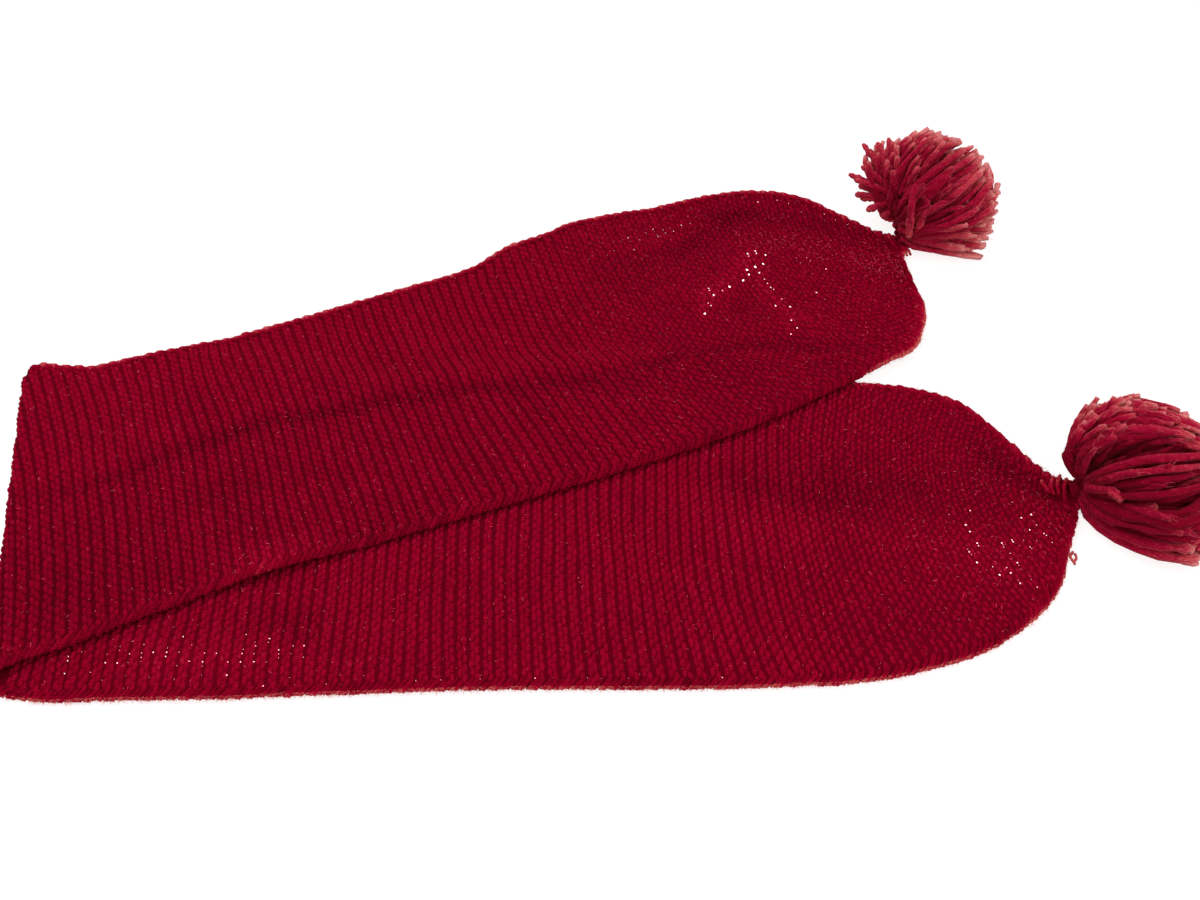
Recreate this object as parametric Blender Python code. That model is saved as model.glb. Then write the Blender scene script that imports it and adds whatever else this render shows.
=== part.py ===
"""A garter-stitch wool scarf with a pompom on each gathered end, folded once across and laid flat.

Frame: metres, +Z up. The scarf lies on the plane Z = 0, folded at its -X end. The arm that lies
on the surface runs to +X, and the arm on top of it runs to +X and +Y. Both have rounded ends that
are drawn up to a knot and carry a pompom. The origin is on the surface, under the middle of the
bounding box.

A stitch has two coordinates along the cloth. Its row is the distance from the knot of its arm,
measured along the middle of the arm. Its place across runs from 0 at the front selvedge to 1 at
the back selvedge. The cloth's middle surface is worked out from these two, and the walls are
offset from it.
"""

import math

import bmesh
import bpy
import numpy as np
from mathutils import Matrix, Vector

NAME = "knit_scarf"
MM = 0.001

# Cloth.
CLOTH = 4.2 * MM          # thickness of the knitting at the top of a ridge
RIDGE_PITCH = 5.56 * MM   # one garter ridge, two knitted rows
RIDGE_DEPTH = 1.1 * MM    # from the top of a ridge to the valley beside it
SELVEDGE = 3.5 * MM       # smooth chain edge, with no ridges
SEAM_GAP = 0.3 * MM
LAYER_GAP = 0.4 * MM      # between the arm on top and what it lies on

# Upper arm: where its knot is, and the way it points there.
UPPER_TIP = Vector((0.186, 0.124))
UPPER_HEADING = math.radians(22.0)

# Fold: a point on the outermost line of the turn, and the direction square to that line.
FOLD_POINT = Vector((-0.2908, -0.0444))
FOLD_NORMAL = math.radians(13.9)
BEND_RADIUS = 3.2 * MM    # of the cloth's middle surface
BULGE_REACH = 26 * MM     # how far the turn lifts the upper layer

# Rows at which the pieces meet, counted from the upper knot, and the length of the lower arm.
TURN_START = 81 * RIDGE_PITCH
TURN_END = 103 * RIDGE_PITCH
LOWER_RIDGES = 82
LOWER_LENGTH = LOWER_RIDGES * RIDGE_PITCH
LOWER_LINE_SHIFT = 18 * MM  # the lower knot is drawn up this much nearer the front edge

# Shape of each arm in the plane, in millimetres. row: distance from the knot. front_width and
# back_width: from the knot's line to each selvedge. front_lead and back_lead: how far a row's two
# ends run ahead of its middle towards the knot.
ARM_COLUMNS = ("row", "front_lead", "front_width", "back_lead", "back_width")
UPPER_ARM = (
    (0, 0, 5, 0, 5),
    (10, 3, 12, 3, 11),
    (20, 7, 31, 7, 22),
    (34, 13, 55, 11, 40),
    (50, 18, 72, 14, 63),
    (70, 22, 85, 14, 79),
    (95, 20, 91, 12, 87),
    (135, 16, 99, 9, 89),
    (160, 14, 103, 8, 92),
    (185, 12, 105, 8, 94),
    (205, 11, 106, 7, 89),
    (225, 10, 106, 7, 87),
    (255, 7, 106, 5, 75),
    (320, 2, 105, 2, 72),
    (400, 0, 103, 0, 69),
    (450, 0, 106, 0, 69),
    (485, 0, 109, 0, 77),
    (503, 0, 110, 0, 79),
    (514, 0, 112, 0, 74),
    (535, 0, 118, 0, 73),
    (560, 0, 125, 0, 73),
    (600, 0, 128, 0, 73),
)
LOWER_ARM = (
    (0, 0, 5, 0, 5),
    (12, 6, 20, 4, 10),
    (26, 12, 38, 8, 23),
    (42, 19, 57, 11, 45),
    (62, 24, 73, 15, 64),
    (84, 26, 87, 15, 73),
    (108, 22, 98, 12, 77),
    (140, 15, 106, 9, 79),
    (200, 10, 109, 6, 79),
    (300, 5, 110, 3, 71),
    (350, 3, 111, 2, 65),
    (400, 2, 111, 1, 76),
    (430, 0, 110, 0, 87),
    (460, 0, 109, 0, 91),
)
# Direction of the lower arm, in degrees, by its distance from the seam in millimetres.
LOWER_HEADING = ((0, 5.8), (80, 2.6), (180, 0.2), (300, -0.6), (600, -0.6))

# Raised strip along the line where the upper arm starts down off the lower arm.
STRIP_HEIGHT = 1.8 * MM
STEP_MARGIN = 5 * MM      # the upper arm stays up this far past the lower arm's back edge
DROP_REACH = 24 * MM      # and takes this far to come down to the surface
GATHER_SWELL = 0.55       # how much thicker the bunched cloth is at a knot
GATHER_REACH = 16 * MM

# Knots and pompoms.
KNOT_RADIUS = 4.0 * MM
HEAD_SIZE = Vector((21, 21, 18)) * MM         # half sizes of the packed middle of a pompom
UPPER_HEAD = (12.5 * MM, 20 * MM, 18 * MM)    # middle of each head, from the knot of its arm
LOWER_HEAD = (26 * MM, -1.5 * MM, 18 * MM)
HEAD_DETAIL = 3           # icosphere subdivisions, which give 320 faces
STRAND_LENGTH = 22 * MM
STRAND_UNEVEN = 0.14      # how much longer or shorter than that a strand may be
UPPER_LEAN = Vector((-0.04, -0.10, -0.06))    # how much longer the strands are on each side
LOWER_LEAN = Vector((0.04, -0.10, -0.06))
STRAND_SIZES = (0.84, 0.92, 0.88, 0.50)       # of a strand's section, from its root to its end
STRAND_FLOOR = 2.4 * MM   # the middle of a strand stays this far above the surface
SWEEP = 0.55              # how far the strands bend away from the tie
DROOP = 0.40              # and down
LOWEST = -0.66            # strands leave the head where it faces no steeper down than this
NECK_CONE = 0.86          # cosine of the cone kept clear round the tie

WOOL = (0.24, 0.003, 0.016)
POMPOM_WOOL = (0.30, 0.008, 0.024)


def clear_scene():
    for item in list(bpy.data.objects):
        bpy.data.objects.remove(item, do_unlink=True)


def wool(name, colour):
    material = bpy.data.materials.new(name)
    material.use_nodes = True
    shader = material.node_tree.nodes["Principled BSDF"]
    shader.inputs["Base Color"].default_value = (*colour, 1)
    shader.inputs["Roughness"].default_value = 0.9
    shader.inputs["Metallic"].default_value = 0.0
    return material


# ---------------------------------------------------------------- curves and tables

def smooth_curve(rows, column, at):
    """Reads a table at any row: a smooth curve through its values that adds no bumps of its own."""
    place = np.array([row[0] for row in rows], float)
    value = np.array([row[column] for row in rows], float)
    step = np.diff(place)
    slope = np.diff(value) / step
    tangent = np.zeros(len(place))
    tangent[0], tangent[-1] = slope[0], slope[-1]
    for i in range(1, len(place) - 1):
        if slope[i - 1] * slope[i] > 0:
            ahead, behind = 2 * step[i] + step[i - 1], step[i] + 2 * step[i - 1]
            tangent[i] = (ahead + behind) / (ahead / slope[i - 1] + behind / slope[i])
    at = np.clip(np.asarray(at, float), place[0], place[-1])
    i = np.clip(np.searchsorted(place, at) - 1, 0, len(slope) - 1)
    t = (at - place[i]) / step[i]
    start = value[i] * (1 + 2 * t) * (1 - t) ** 2 + tangent[i] * step[i] * t * (1 - t) ** 2
    end = value[i + 1] * t * t * (3 - 2 * t) + tangent[i + 1] * step[i] * t * t * (t - 1)
    return start + end


def ease(value):
    """0 below 0, 1 above 1, and a smooth step between."""
    value = np.clip(value, 0.0, 1.0)
    return value * value * (3 - 2 * value)


def unit(angle):
    return np.array([math.cos(angle), math.sin(angle)])


def left_of(direction):
    return np.array([-direction[1], direction[0]])


# ---------------------------------------------------------------- the cloth in the plane

def arm_place(table, row, across):
    """How far behind its knot, and how far to the side, a stitch of one arm lies."""
    row_mm = np.asarray(row, float) / MM
    shape = {name: smooth_curve(table, i, row_mm) * MM
             for i, name in enumerate(ARM_COLUMNS) if i > 0}
    front, back = shape["front_width"], shape["back_width"]
    side = -front + across * (front + back)
    ahead = np.where(side < 0, shape["front_lead"] * (side / front) ** 2,
                     shape["back_lead"] * (side / back) ** 2)
    return row - ahead, side


def upper_plan(row, across):
    behind, side = arm_place(UPPER_ARM, row, across)
    along = unit(UPPER_HEADING)
    return (np.array(UPPER_TIP) - np.multiply.outer(behind, along)
            + np.multiply.outer(side, left_of(along)))


def past_fold(plan):
    """Distance of a point of the unfolded upper arm beyond the line where the turn begins."""
    inward = unit(FOLD_NORMAL)
    turn_line = np.array(FOLD_POINT) + inward * (CLOTH / 2 + BEND_RADIUS)
    return (turn_line - plan) @ inward


def folded_plan(row, across):
    """Plan and turning angle of the cloth from the upper knot round the fold."""
    plan = upper_plan(row, across)
    beyond = past_fold(plan)
    angle = np.clip(beyond / BEND_RADIUS, 0, math.pi)
    under = -(beyond - math.pi * BEND_RADIUS)
    reached = np.where(beyond < 0, beyond,
                       np.where(angle < math.pi, BEND_RADIUS * np.sin(angle), under))
    return plan + np.multiply.outer(beyond - reached, unit(FOLD_NORMAL)), angle


def lower_line():
    """Centre line of the lower arm from the seam to past its knot: distances, points, headings."""
    step = 1 * MM
    distance = np.arange(0, LOWER_LENGTH + 40 * MM, step)
    heading = np.radians(smooth_curve(LOWER_HEADING, 1, distance / MM))
    steps = np.stack([np.cos(heading), np.sin(heading)], axis=1) * step
    points = np.concatenate([[[0.0, 0.0]], np.cumsum(steps, axis=0)[:-1]])
    front, back = (smooth_curve(UPPER_ARM, column, TURN_END / MM) * MM for column in (2, 4))
    across = (front - LOWER_LINE_SHIFT) / (front + back)
    start, _ = folded_plan(np.array([TURN_END]), np.array([across]))
    return distance, points + start[0], heading


LOWER_DISTANCE, LOWER_POINTS, LOWER_ANGLES = lower_line()


def lower_plan(row, across):
    behind, side = arm_place(LOWER_ARM, row, across)
    at = LOWER_LENGTH - behind
    x, y = (np.interp(at, LOWER_DISTANCE, LOWER_POINTS[:, i]) for i in (0, 1))
    heading = np.interp(at, LOWER_DISTANCE, LOWER_ANGLES)
    before = np.minimum(at, 0.0)
    x = x + before * np.cos(heading) - side * np.sin(heading)
    y = y + before * np.sin(heading) + side * np.cos(heading)
    return np.stack([x, y], axis=-1)


# ---------------------------------------------------------------- heights

def under_back_edge():
    """Back selvedge of what lies under the upper arm, from the turn to the lower knot."""
    rows = np.linspace(TURN_START, TURN_END, 120)
    turned, angle = folded_plan(rows, np.ones(120))
    rows = np.linspace(LOWER_LENGTH, 0, 240)
    edge = np.concatenate([turned[angle >= math.pi], lower_plan(rows, np.ones(240))])
    return edge[np.argsort(edge[:, 0])]


UNDER_EDGE = under_back_edge()


def outside_lower(plan):
    """How far a point of the plane lies beyond the back edge or the knot of the lower arm."""
    beyond_edge = plan[..., 1] - np.interp(plan[..., 0], UNDER_EDGE[:, 0], UNDER_EDGE[:, 1])
    return np.maximum(beyond_edge, plan[..., 0] - UNDER_EDGE[-1, 0])


def held_up(plan):
    """1 where the upper arm lies on the lower arm, falling to 0 where it lies on the surface."""
    past_step = (outside_lower(plan) - STEP_MARGIN) / DROP_REACH
    near_fold = ease((past_fold(plan) + 62 * MM) / (34 * MM))
    return np.maximum(1 - np.clip(past_step, 0, 1), near_fold)


def strip(plan):
    """Height of the raised strip, which dies out towards the fold and the upper knot."""
    beside = np.exp(-((outside_lower(plan) - STEP_MARGIN) / (13 * MM)) ** 2)
    span = ease((plan[..., 0] + 230 * MM) / (90 * MM)) * ease((130 * MM - plan[..., 0]) / (60 * MM))
    return STRIP_HEIGHT * beside * span


def swelling(row):
    """Thickness of the cloth, which is bunched near a knot."""
    return CLOTH * (1 + GATHER_SWELL * np.exp(-(np.asarray(row) / GATHER_REACH) ** 2))


def upper_middle(row, across):
    """Middle surface of the cloth from the upper knot, round the turn and under it."""
    plan, angle = folded_plan(row, across)
    thick = swelling(row)
    beyond = past_fold(upper_plan(row, across))
    lift = (CLOTH + LAYER_GAP) * held_up(plan) + strip(plan)
    flat_top = lift + thick / 2
    crown = CLOTH / 2 + 2 * BEND_RADIUS
    top = flat_top + (crown - flat_top) * ease(1 + beyond / BULGE_REACH)
    turned = CLOTH / 2 + BEND_RADIUS * (1 + np.cos(angle))
    height = np.where(beyond < 0, top, turned)
    return np.concatenate([plan, height[..., None]], axis=-1), thick, angle


def lower_middle(row, across):
    plan = lower_plan(row, across)
    thick = swelling(row)
    height = thick / 2 + 0 * across
    return np.concatenate([plan, height[..., None]], axis=-1), thick


# ---------------------------------------------------------------- walls

def ridge_height(row):
    """0 in the valleys and 1 on the ridges, as a zigzag."""
    phase = np.asarray(row) / RIDGE_PITCH
    return 1 - 2 * np.abs(phase - np.floor(phase) - 0.5)


def wall_columns(width, inner):
    """Places across a section: three at each selvedge, and those given between them."""
    edge = np.minimum(np.array([0.0, 0.45, 1.7]) * SELVEDGE, width * np.array([0.0, 0.08, 0.2]))
    share = edge / width
    inner = share[2] + np.asarray(inner) * (1 - 2 * share[2])
    return np.concatenate([share, inner, 1 - share[::-1]])


def step_places(row):
    """Where across a row the upper arm starts down, and where it reaches the surface."""
    across = np.linspace(0, 1, 161)
    plan, _ = folded_plan(np.full(161, row), across)
    past = outside_lower(plan) - STEP_MARGIN
    start = np.interp(0.0, past, across)
    end = np.interp(DROP_REACH, past, across)
    start = min(max(start, 0.10), 0.80)
    return start, min(max(end, start + 0.08), 0.92)


def surface_normals(middle, row, across, reach=0.5 * MM):
    """Unit normals of a middle surface, from its slopes along and across the cloth."""
    along = middle(row + reach, across)[0] - middle(row - reach, across)[0]
    step = 0.004
    sideways = middle(row, np.minimum(across + step, 1))[0]
    sideways = sideways - middle(row, np.maximum(across - step, 0))[0]
    normal = np.cross(sideways, along)
    return normal / np.linalg.norm(normal, axis=-1, keepdims=True)


def selvedges(table, row):
    front, back = (smooth_curve(table, column, row / MM) * MM for column in (2, 4))
    return front + back


def cloth_ring(row, across, under):
    """One closed section of the folded cloth, its outer points raised in ridges."""
    place = np.full(len(across), row)
    middle, thick, angle = upper_middle(place, across)
    normal = surface_normals(upper_middle, place, across)
    valley = RIDGE_DEPTH * (1 - ridge_height(row)) * ease(1 - angle / 2.2)
    offset = thick / 2 - valley
    offset[[1, -2]] = thick[[1, -2]] / 2
    offset[[0, -1]] = 0.0
    outer = middle + normal * offset[:, None]
    place = np.full(len(under), row)
    middle, thick, _ = upper_middle(place, under)
    normal = surface_normals(upper_middle, place, under)
    inner = middle - normal * (thick / 2)[:, None]
    ring = np.concatenate([outer, inner[::-1]])
    ring[:, 2] = np.maximum(ring[:, 2], 0.0)
    return ring


def upper_rings(rows):
    """Sections of the arm on top, with points where it starts down and where it lands."""
    rings = []
    for row in rows:
        start, end = step_places(row)
        inner = (start * 0.36, start * 0.70, start, end, end + (1 - end) * 0.36,
                 end + (1 - end) * 0.70)
        across = wall_columns(selvedges(UPPER_ARM, row), inner)
        under = np.array([across[1] * 0.8, across[4], across[5], across[6], across[7],
                          1 - across[1] * 0.8])
        rings.append(cloth_ring(row, across, under))
    return rings


def bend_places(row, count):
    """Places across a row, set closer together where the row goes round the bend."""
    across = np.linspace(0, 1, 201)
    beyond = past_fold(upper_plan(np.full(201, row), across))
    near_bend = (beyond > -3 * MM) & (beyond < math.pi * BEND_RADIUS + 3 * MM)
    weight = np.cumsum(np.where(near_bend, 3.2, 1.0))
    weight = (weight - weight[0]) / (weight[-1] - weight[0])
    return np.interp(np.linspace(0, 1, count + 2)[1:-1], weight, across)


def turn_rings(rows):
    """Sections of the turn at the fold and of the short flange under it."""
    rings = []
    for row in rows:
        across = wall_columns(selvedges(UPPER_ARM, row), bend_places(row, 8))
        edge = across[1] * 0.8
        under = np.concatenate([[edge], edge + bend_places(row, 5) * (1 - 2 * edge), [1 - edge]])
        rings.append(cloth_ring(row, across, under))
    return rings


def lower_rings(rows):
    """Sections of the arm on the surface: flat below, with ridges above."""
    rings = []
    for row in rows:
        across = wall_columns(selvedges(LOWER_ARM, row), (0.25, 0.5, 0.75))
        top, thick = lower_middle(np.full(len(across), row), across)
        top[:, 2] = thick - RIDGE_DEPTH * (1 - ridge_height(row))
        top[[1, -2], 2] = thick[[1, -2]]
        top[[0, -1], 2] = thick[[0, -1]] / 2
        below = lower_middle(np.full(2, row), np.array([across[1] * 0.8, 1 - across[1] * 0.8]))[0]
        below[:, 2] = 0.0
        rings.append(np.concatenate([top, below[::-1]]))
    return rings


def loft(name, rings, material, collection):
    """One closed solid through a row of sections that have the same number of points."""
    mesh = bmesh.new()
    loops = [[mesh.verts.new(point) for point in ring] for ring in rings]
    count = len(loops[0])
    for first, second in zip(loops[:-1], loops[1:]):
        for i in range(count):
            j = (i + 1) % count
            mesh.faces.new((first[i], first[j], second[j], second[i]))
    mesh.faces.new(loops[0])
    mesh.faces.new(loops[-1][::-1])
    bmesh.ops.recalc_face_normals(mesh, faces=mesh.faces)
    return finish(name, mesh, material, collection)


def finish(name, mesh, material, collection):
    data = bpy.data.meshes.new(name)
    mesh.to_mesh(data)
    mesh.free()
    data.materials.append(material)
    item = bpy.data.objects.new(name, data)
    collection.objects.link(item)
    return item


def ridge_stops(start, end, per_ridge=2):
    """Rows of the sections between two rows, with one on each ridge and in each valley."""
    count = round((end - start) / RIDGE_PITCH * per_ridge)
    stops = np.linspace(start, end, count + 1)
    stops[0] += SEAM_GAP / 2
    stops[-1] -= SEAM_GAP / 2
    return stops


# ---------------------------------------------------------------- knots and pompoms

def tie(name, start, end, material, collection):
    """The bound neck between the cloth and a pompom: wraps of yarn, and one short yarn end."""
    rings = 9
    sides = 10
    start, end = Vector(start), Vector(end)
    axis = (end - start).normalized()
    turn = axis.to_track_quat("Z", "Y")
    mesh = bmesh.new()
    loops = []
    for i in range(rings):
        share = i / (rings - 1)
        radius = KNOT_RADIUS * (1.0 if i % 2 else 0.84)
        centre = start.lerp(end, share)
        loop = []
        for k in range(sides):
            angle = 2 * math.pi * k / sides
            point = turn @ Vector((radius * math.cos(angle), radius * math.sin(angle), 0))
            loop.append(mesh.verts.new(centre + point))
        loops.append(loop)
    for first, second in zip(loops[:-1], loops[1:]):
        for k in range(sides):
            m = (k + 1) % sides
            mesh.faces.new((first[k], first[m], second[m], second[k]))
    mesh.faces.new(loops[0][::-1])
    mesh.faces.new(loops[-1])
    mesh.normal_update()
    outward = Vector((0.1, -1, 0.35)).normalized()
    half_way = (end - start).length / 2
    stub = max((face for face in mesh.faces if len(face.verts) == 4 and
                (face.calc_center_median() - start).dot(axis) < half_way),
               key=lambda face: face.normal.dot(outward))
    extrude_strand(mesh, stub, [(stub.calc_center_median() + outward * 4 * MM, 1.1),
                                (stub.calc_center_median() + outward * 8.5 * MM, 0.8)])
    return finish(name, mesh, material, collection)


def extrude_strand(mesh, face, path):
    """Draws one face out along a path of (point, size), so that the strand grows from its solid."""
    centre = face.calc_center_median()
    shape = [vertex.co - centre for vertex in face.verts]
    normal = face.normal.copy()
    before = centre
    for point, size in path:
        direction = (point - before).normalized()
        turn = normal.rotation_difference(direction)
        face = bmesh.ops.extrude_discrete_faces(mesh, faces=[face])["faces"][0]
        for vertex, offset in zip(face.verts, shape):
            vertex.co = point + turn @ (offset * size)
        before = point


def separate_faces(mesh, allowed):
    """Faces that share no edge with each other, in the order in which the mesh lists them."""
    taken = set()
    chosen = []
    for face in mesh.faces:
        if not allowed(face) or any(edge in taken for edge in face.edges):
            continue
        taken.update(face.edges)
        chosen.append(face)
    return chosen


def head_reach(direction):
    """Distance from the middle of a head to its surface."""
    return 1 / Vector(direction[i] / HEAD_SIZE[i] for i in range(3)).length


def strand_path(root, normal, away, length):
    """A strand leaves the head squarely, then bends down and away from the tie."""
    step = length / len(STRAND_SIZES)
    path = []
    point = root
    for i, size in enumerate(STRAND_SIZES):
        share = i / (len(STRAND_SIZES) - 1)
        way = normal + away * (SWEEP * share)
        way.z = normal.z * (1.0 if normal.z > 0 else 0.7)
        way.z -= DROOP * share * max(0.0, normal.z + 0.25)
        way.normalize()
        way.z = max(way.z, (STRAND_FLOOR - point.z) / (length - i * step))
        point = point + way * step
        path.append((point, size))
    return path


def pompom(name, centre, knot, heading, lean, material, collection):
    """A packed head with strands of yarn drawn out of it, clear of the tie and of the cloth."""
    centre = Vector(centre)
    to_knot = (Vector(knot) - centre).normalized()
    away = -Vector((to_knot.x, to_knot.y, 0)).normalized()
    over_cloth = -Vector((*unit(heading), 0))
    mesh = bmesh.new()
    bmesh.ops.create_icosphere(mesh, subdivisions=HEAD_DETAIL, radius=1)
    bmesh.ops.scale(mesh, verts=mesh.verts, vec=HEAD_SIZE)
    bmesh.ops.translate(mesh, verts=mesh.verts, vec=centre)
    mesh.normal_update()

    def leaves_head(face):
        outward = (face.calc_center_median() - centre).normalized()
        lowest = 0.0 if outward.dot(over_cloth) > 0.2 else LOWEST
        return outward.dot(to_knot) < NECK_CONE and face.normal.z > lowest

    for i, face in enumerate(separate_faces(mesh, leaves_head)):
        normal = face.normal.copy()
        length = STRAND_LENGTH * (1 + lean.dot(normal) + STRAND_UNEVEN * math.sin(7.0 * i))
        path = strand_path(face.calc_center_median(), normal, away, length)
        extrude_strand(mesh, face, path)
    return finish(name, mesh, material, collection)


# ---------------------------------------------------------------- assembly

def neck(knot, heading, head, side_step):
    """Ends of a tie between an arm's gathered end and the head of its pompom."""
    head = Vector(head)
    start = Vector(knot) + Vector((*(unit(heading) * side_step), 0))
    start.z = KNOT_RADIUS + 0.3 * MM
    towards = (head - start).normalized()
    return start, head - towards * (head_reach(towards) + SEAM_GAP)


def centre(parts):
    """Moves everything so that the origin is under the middle of the bounding box."""
    points = [vertex.co for item in parts.objects for vertex in item.data.vertices]
    low = Vector(min(point[i] for point in points) for i in range(3))
    high = Vector(max(point[i] for point in points) for i in range(3))
    shift = Vector((-(low.x + high.x) / 2, -(low.y + high.y) / 2, -low.z))
    for item in parts.objects:
        item.data.transform(Matrix.Translation(shift))
    return shift, high - low


def main():
    clear_scene()
    parts = bpy.data.collections.new(NAME)
    bpy.context.scene.collection.children.link(parts)
    cloth = wool("crimson_knit", WOOL)
    yarn = wool("pompom_yarn", POMPOM_WOOL)

    loft("upper_stretch", upper_rings(ridge_stops(0.0, TURN_START)), cloth, parts)
    loft("fold_turn", turn_rings(ridge_stops(TURN_START, TURN_END, per_ridge=3)), cloth, parts)
    loft("lower_stretch", lower_rings(ridge_stops(0.0, LOWER_LENGTH)), cloth, parts)

    middle = np.array([0.0]), np.array([0.5])
    upper_knot = upper_middle(*middle)[0][0]
    lower_knot = lower_middle(*middle)[0][0]
    upper_head = upper_knot + np.array(UPPER_HEAD)
    lower_head = lower_knot + np.array(LOWER_HEAD)
    start, end = neck(upper_knot, UPPER_HEADING, upper_head, 2.75 * MM)
    tie("upper_tie", start, end, yarn, parts)
    start, end = neck(lower_knot, LOWER_ANGLES[-1], lower_head, 1.2 * MM)
    tie("lower_tie", start, end, yarn, parts)
    pompom("upper_pompom", upper_head, upper_knot, UPPER_HEADING, UPPER_LEAN, yarn, parts)
    pompom("lower_pompom", lower_head, lower_knot, LOWER_ANGLES[-1], LOWER_LEAN, yarn, parts)
    shift, size = centre(parts)
    print("shift", tuple(shift), "size", tuple(size))


main()
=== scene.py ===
"""Looks of a crimson garter-stitch scarf, folded once and laid flat, with a yarn pompom on each end.

Frame: metres, +Z up, the part's own frame. A stitch has two coordinates along the cloth: its run,
the distance from the upper knot along the middle of the strip, round the fold and on to the lower
knot, and its place across, from 0 at the front selvedge to 1 at the back selvedge. The cloth's
middle surface is worked out from these two, and the yarn is laid on it stitch by stitch.
"""

import math

import bpy
import numpy as np
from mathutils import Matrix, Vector


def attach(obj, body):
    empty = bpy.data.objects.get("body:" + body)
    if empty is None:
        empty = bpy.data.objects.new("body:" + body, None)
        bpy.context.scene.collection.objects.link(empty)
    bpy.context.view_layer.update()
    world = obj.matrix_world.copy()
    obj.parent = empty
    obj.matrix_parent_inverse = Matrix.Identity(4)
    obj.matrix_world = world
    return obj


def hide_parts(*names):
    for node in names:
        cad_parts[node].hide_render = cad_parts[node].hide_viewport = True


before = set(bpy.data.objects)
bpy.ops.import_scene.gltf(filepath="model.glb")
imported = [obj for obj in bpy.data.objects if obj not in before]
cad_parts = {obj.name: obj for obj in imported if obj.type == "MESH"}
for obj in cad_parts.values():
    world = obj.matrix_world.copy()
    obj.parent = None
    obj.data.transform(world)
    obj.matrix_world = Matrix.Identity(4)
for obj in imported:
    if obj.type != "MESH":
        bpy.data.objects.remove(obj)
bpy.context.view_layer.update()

MM = 0.001
SEED = 17

# ---------------- the cloth's sizes

CLOTH = 4.2 * MM           # thickness of the knitting
PITCH = 5.56 * MM          # one garter ridge
LAYER_GAP = 0.4 * MM
SHIFT = np.array([-0.002296, -0.000317])   # from the drafting frame to the part's frame
UPPER_TIP = np.array([0.186, 0.124])
UPPER_HEADING = math.radians(22.0)
FOLD_POINT = np.array([-0.2908, -0.0444])
FOLD_NORMAL = math.radians(13.9)
BEND_RADIUS = 3.2 * MM
BULGE_REACH = 26 * MM
STRAIGHT_RIDGES = 81       # ridges of the upper arm before the turn
TURN_RIDGES = 103          # ridges of the upper arm and the turn
LOWER_RIDGES = 82
RIDGES = TURN_RIDGES + LOWER_RIDGES
TURN_END = TURN_RIDGES * PITCH
LOWER_LENGTH = LOWER_RIDGES * PITCH
TOTAL = TURN_END + LOWER_LENGTH
LOWER_LINE_SHIFT = 18 * MM

# A line of a table holds, in millimetres: a row's distance from its knot, then for the front and
# for the back half how far its end leads its middle and how wide the half is.
ARM_COLUMNS = ("row", "front_lead", "front_width", "back_lead", "back_width")
UPPER_ARM = (
    (0, 0, 5, 0, 5), (10, 3, 12, 3, 11), (20, 7, 31, 7, 24), (34, 13, 55, 11, 44),
    (50, 18, 72, 14, 66), (70, 22, 85, 14, 80), (95, 20, 91, 12, 87), (135, 16, 99, 9, 89),
    (160, 14, 103, 8, 92), (185, 12, 105, 8, 94), (205, 11, 106, 7, 89), (225, 10, 106, 7, 87),
    (255, 7, 106, 5, 75), (320, 1, 105, 1, 71), (400, -3, 103, -2, 67), (450, -6, 106, -5, 66),
    (485, -7, 109, -7, 79), (503, -7, 110, -7, 81), (514, -5, 112, -5, 74), (526, -3, 118.6, -3, 73),
    (535, -2, 121.4, -2, 73), (560, 0, 125, 0, 73), (575, 0, 125.4, 0, 73), (600, 0, 125.5, 0, 73),
)
LOWER_ARM = (
    (0, 0, 5, 0, 5), (12, 6, 20, 4, 10), (26, 12, 38, 8, 23), (42, 19, 57, 11, 45),
    (62, 24, 73, 15, 64), (84, 26, 87, 15, 73), (108, 22, 98, 12, 77), (140, 15, 106, 9, 79),
    (200, 10, 109, 6, 79), (300, 5, 110, 3, 71), (350, 3, 111, 2, 65), (400, 2, 111, 1, 76),
    (430, 0, 109.5, 0, 87), (460, 0, 107.4, 0, 91),
)
# Distance from the turn in millimetres, and the lower arm's heading there in degrees.
LOWER_HEADING = ((0, 5.8), (80, 2.6), (180, 0.2), (300, -0.6), (600, -0.6))
STRIP_HEIGHT = 1.8 * MM    # raised strip where the upper arm passes the lower one's back edge
STEP_MARGIN = 5 * MM
DROP_REACH = 24 * MM
GATHER_SWELL = 0.55
GATHER_REACH = 16 * MM

# Where the arm on top starts down behind the lower arm: the cloth looks darkest along this line,
# from its fold there and from painted shade.
STEP_LINE = ((-310, -93), (-284, -82), (-258, -71), (-232, -63), (-206, -47), (-170, -27),
             (-135, -20), (-110, -13), (-75, -5), (-33, -1), (4, 4), (31, 15), (53, 26),
             (80, 33), (108, 34), (140, 32), (190, 28))
# The long hollow beside the upper knot.
KNOT_HOLLOW = ((12, 101), (41, 113), (59, 129), (76, 148), (94, 156), (110, 150), (135, 142),
               (159, 129))

# Soft folds: points in the plane, half width and height, all in millimetres.
UPPER_FOLDS = (
    (STEP_LINE[1:7], 6, -1.2),
    (((-206, -47), (-170, -27), (-135, -20), (-75, -5), (-33, -1), (4, 4), (31, 15)), 5, -1.3),
    (((-204, -91), (-173, -70), (-128, -61)), 8, -0.8),
    (STEP_LINE[11:16], 7, -1.3),
    (KNOT_HOLLOW, 11, -1.9),
    (((10, 116), (45, 128), (75, 145)), 6, 1.2),
    (((-60, 52), (-20, 66), (28, 84), (50, 98)), 9, -0.9),
    (((58, 57), (76, 87), (95, 117)), 6, 2.4),
    (((92, 108), (98, 76), (110, 56), (132, 50)), 6, 2.2),
    (((80, 62), (88, 80)), 8, -1.0),
    (((-166, -121), (-148, -115), (-126, -108)), 12, 2.6),
    (((-112, -104), (-96, -99)), 10, -1.2),
)
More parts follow.
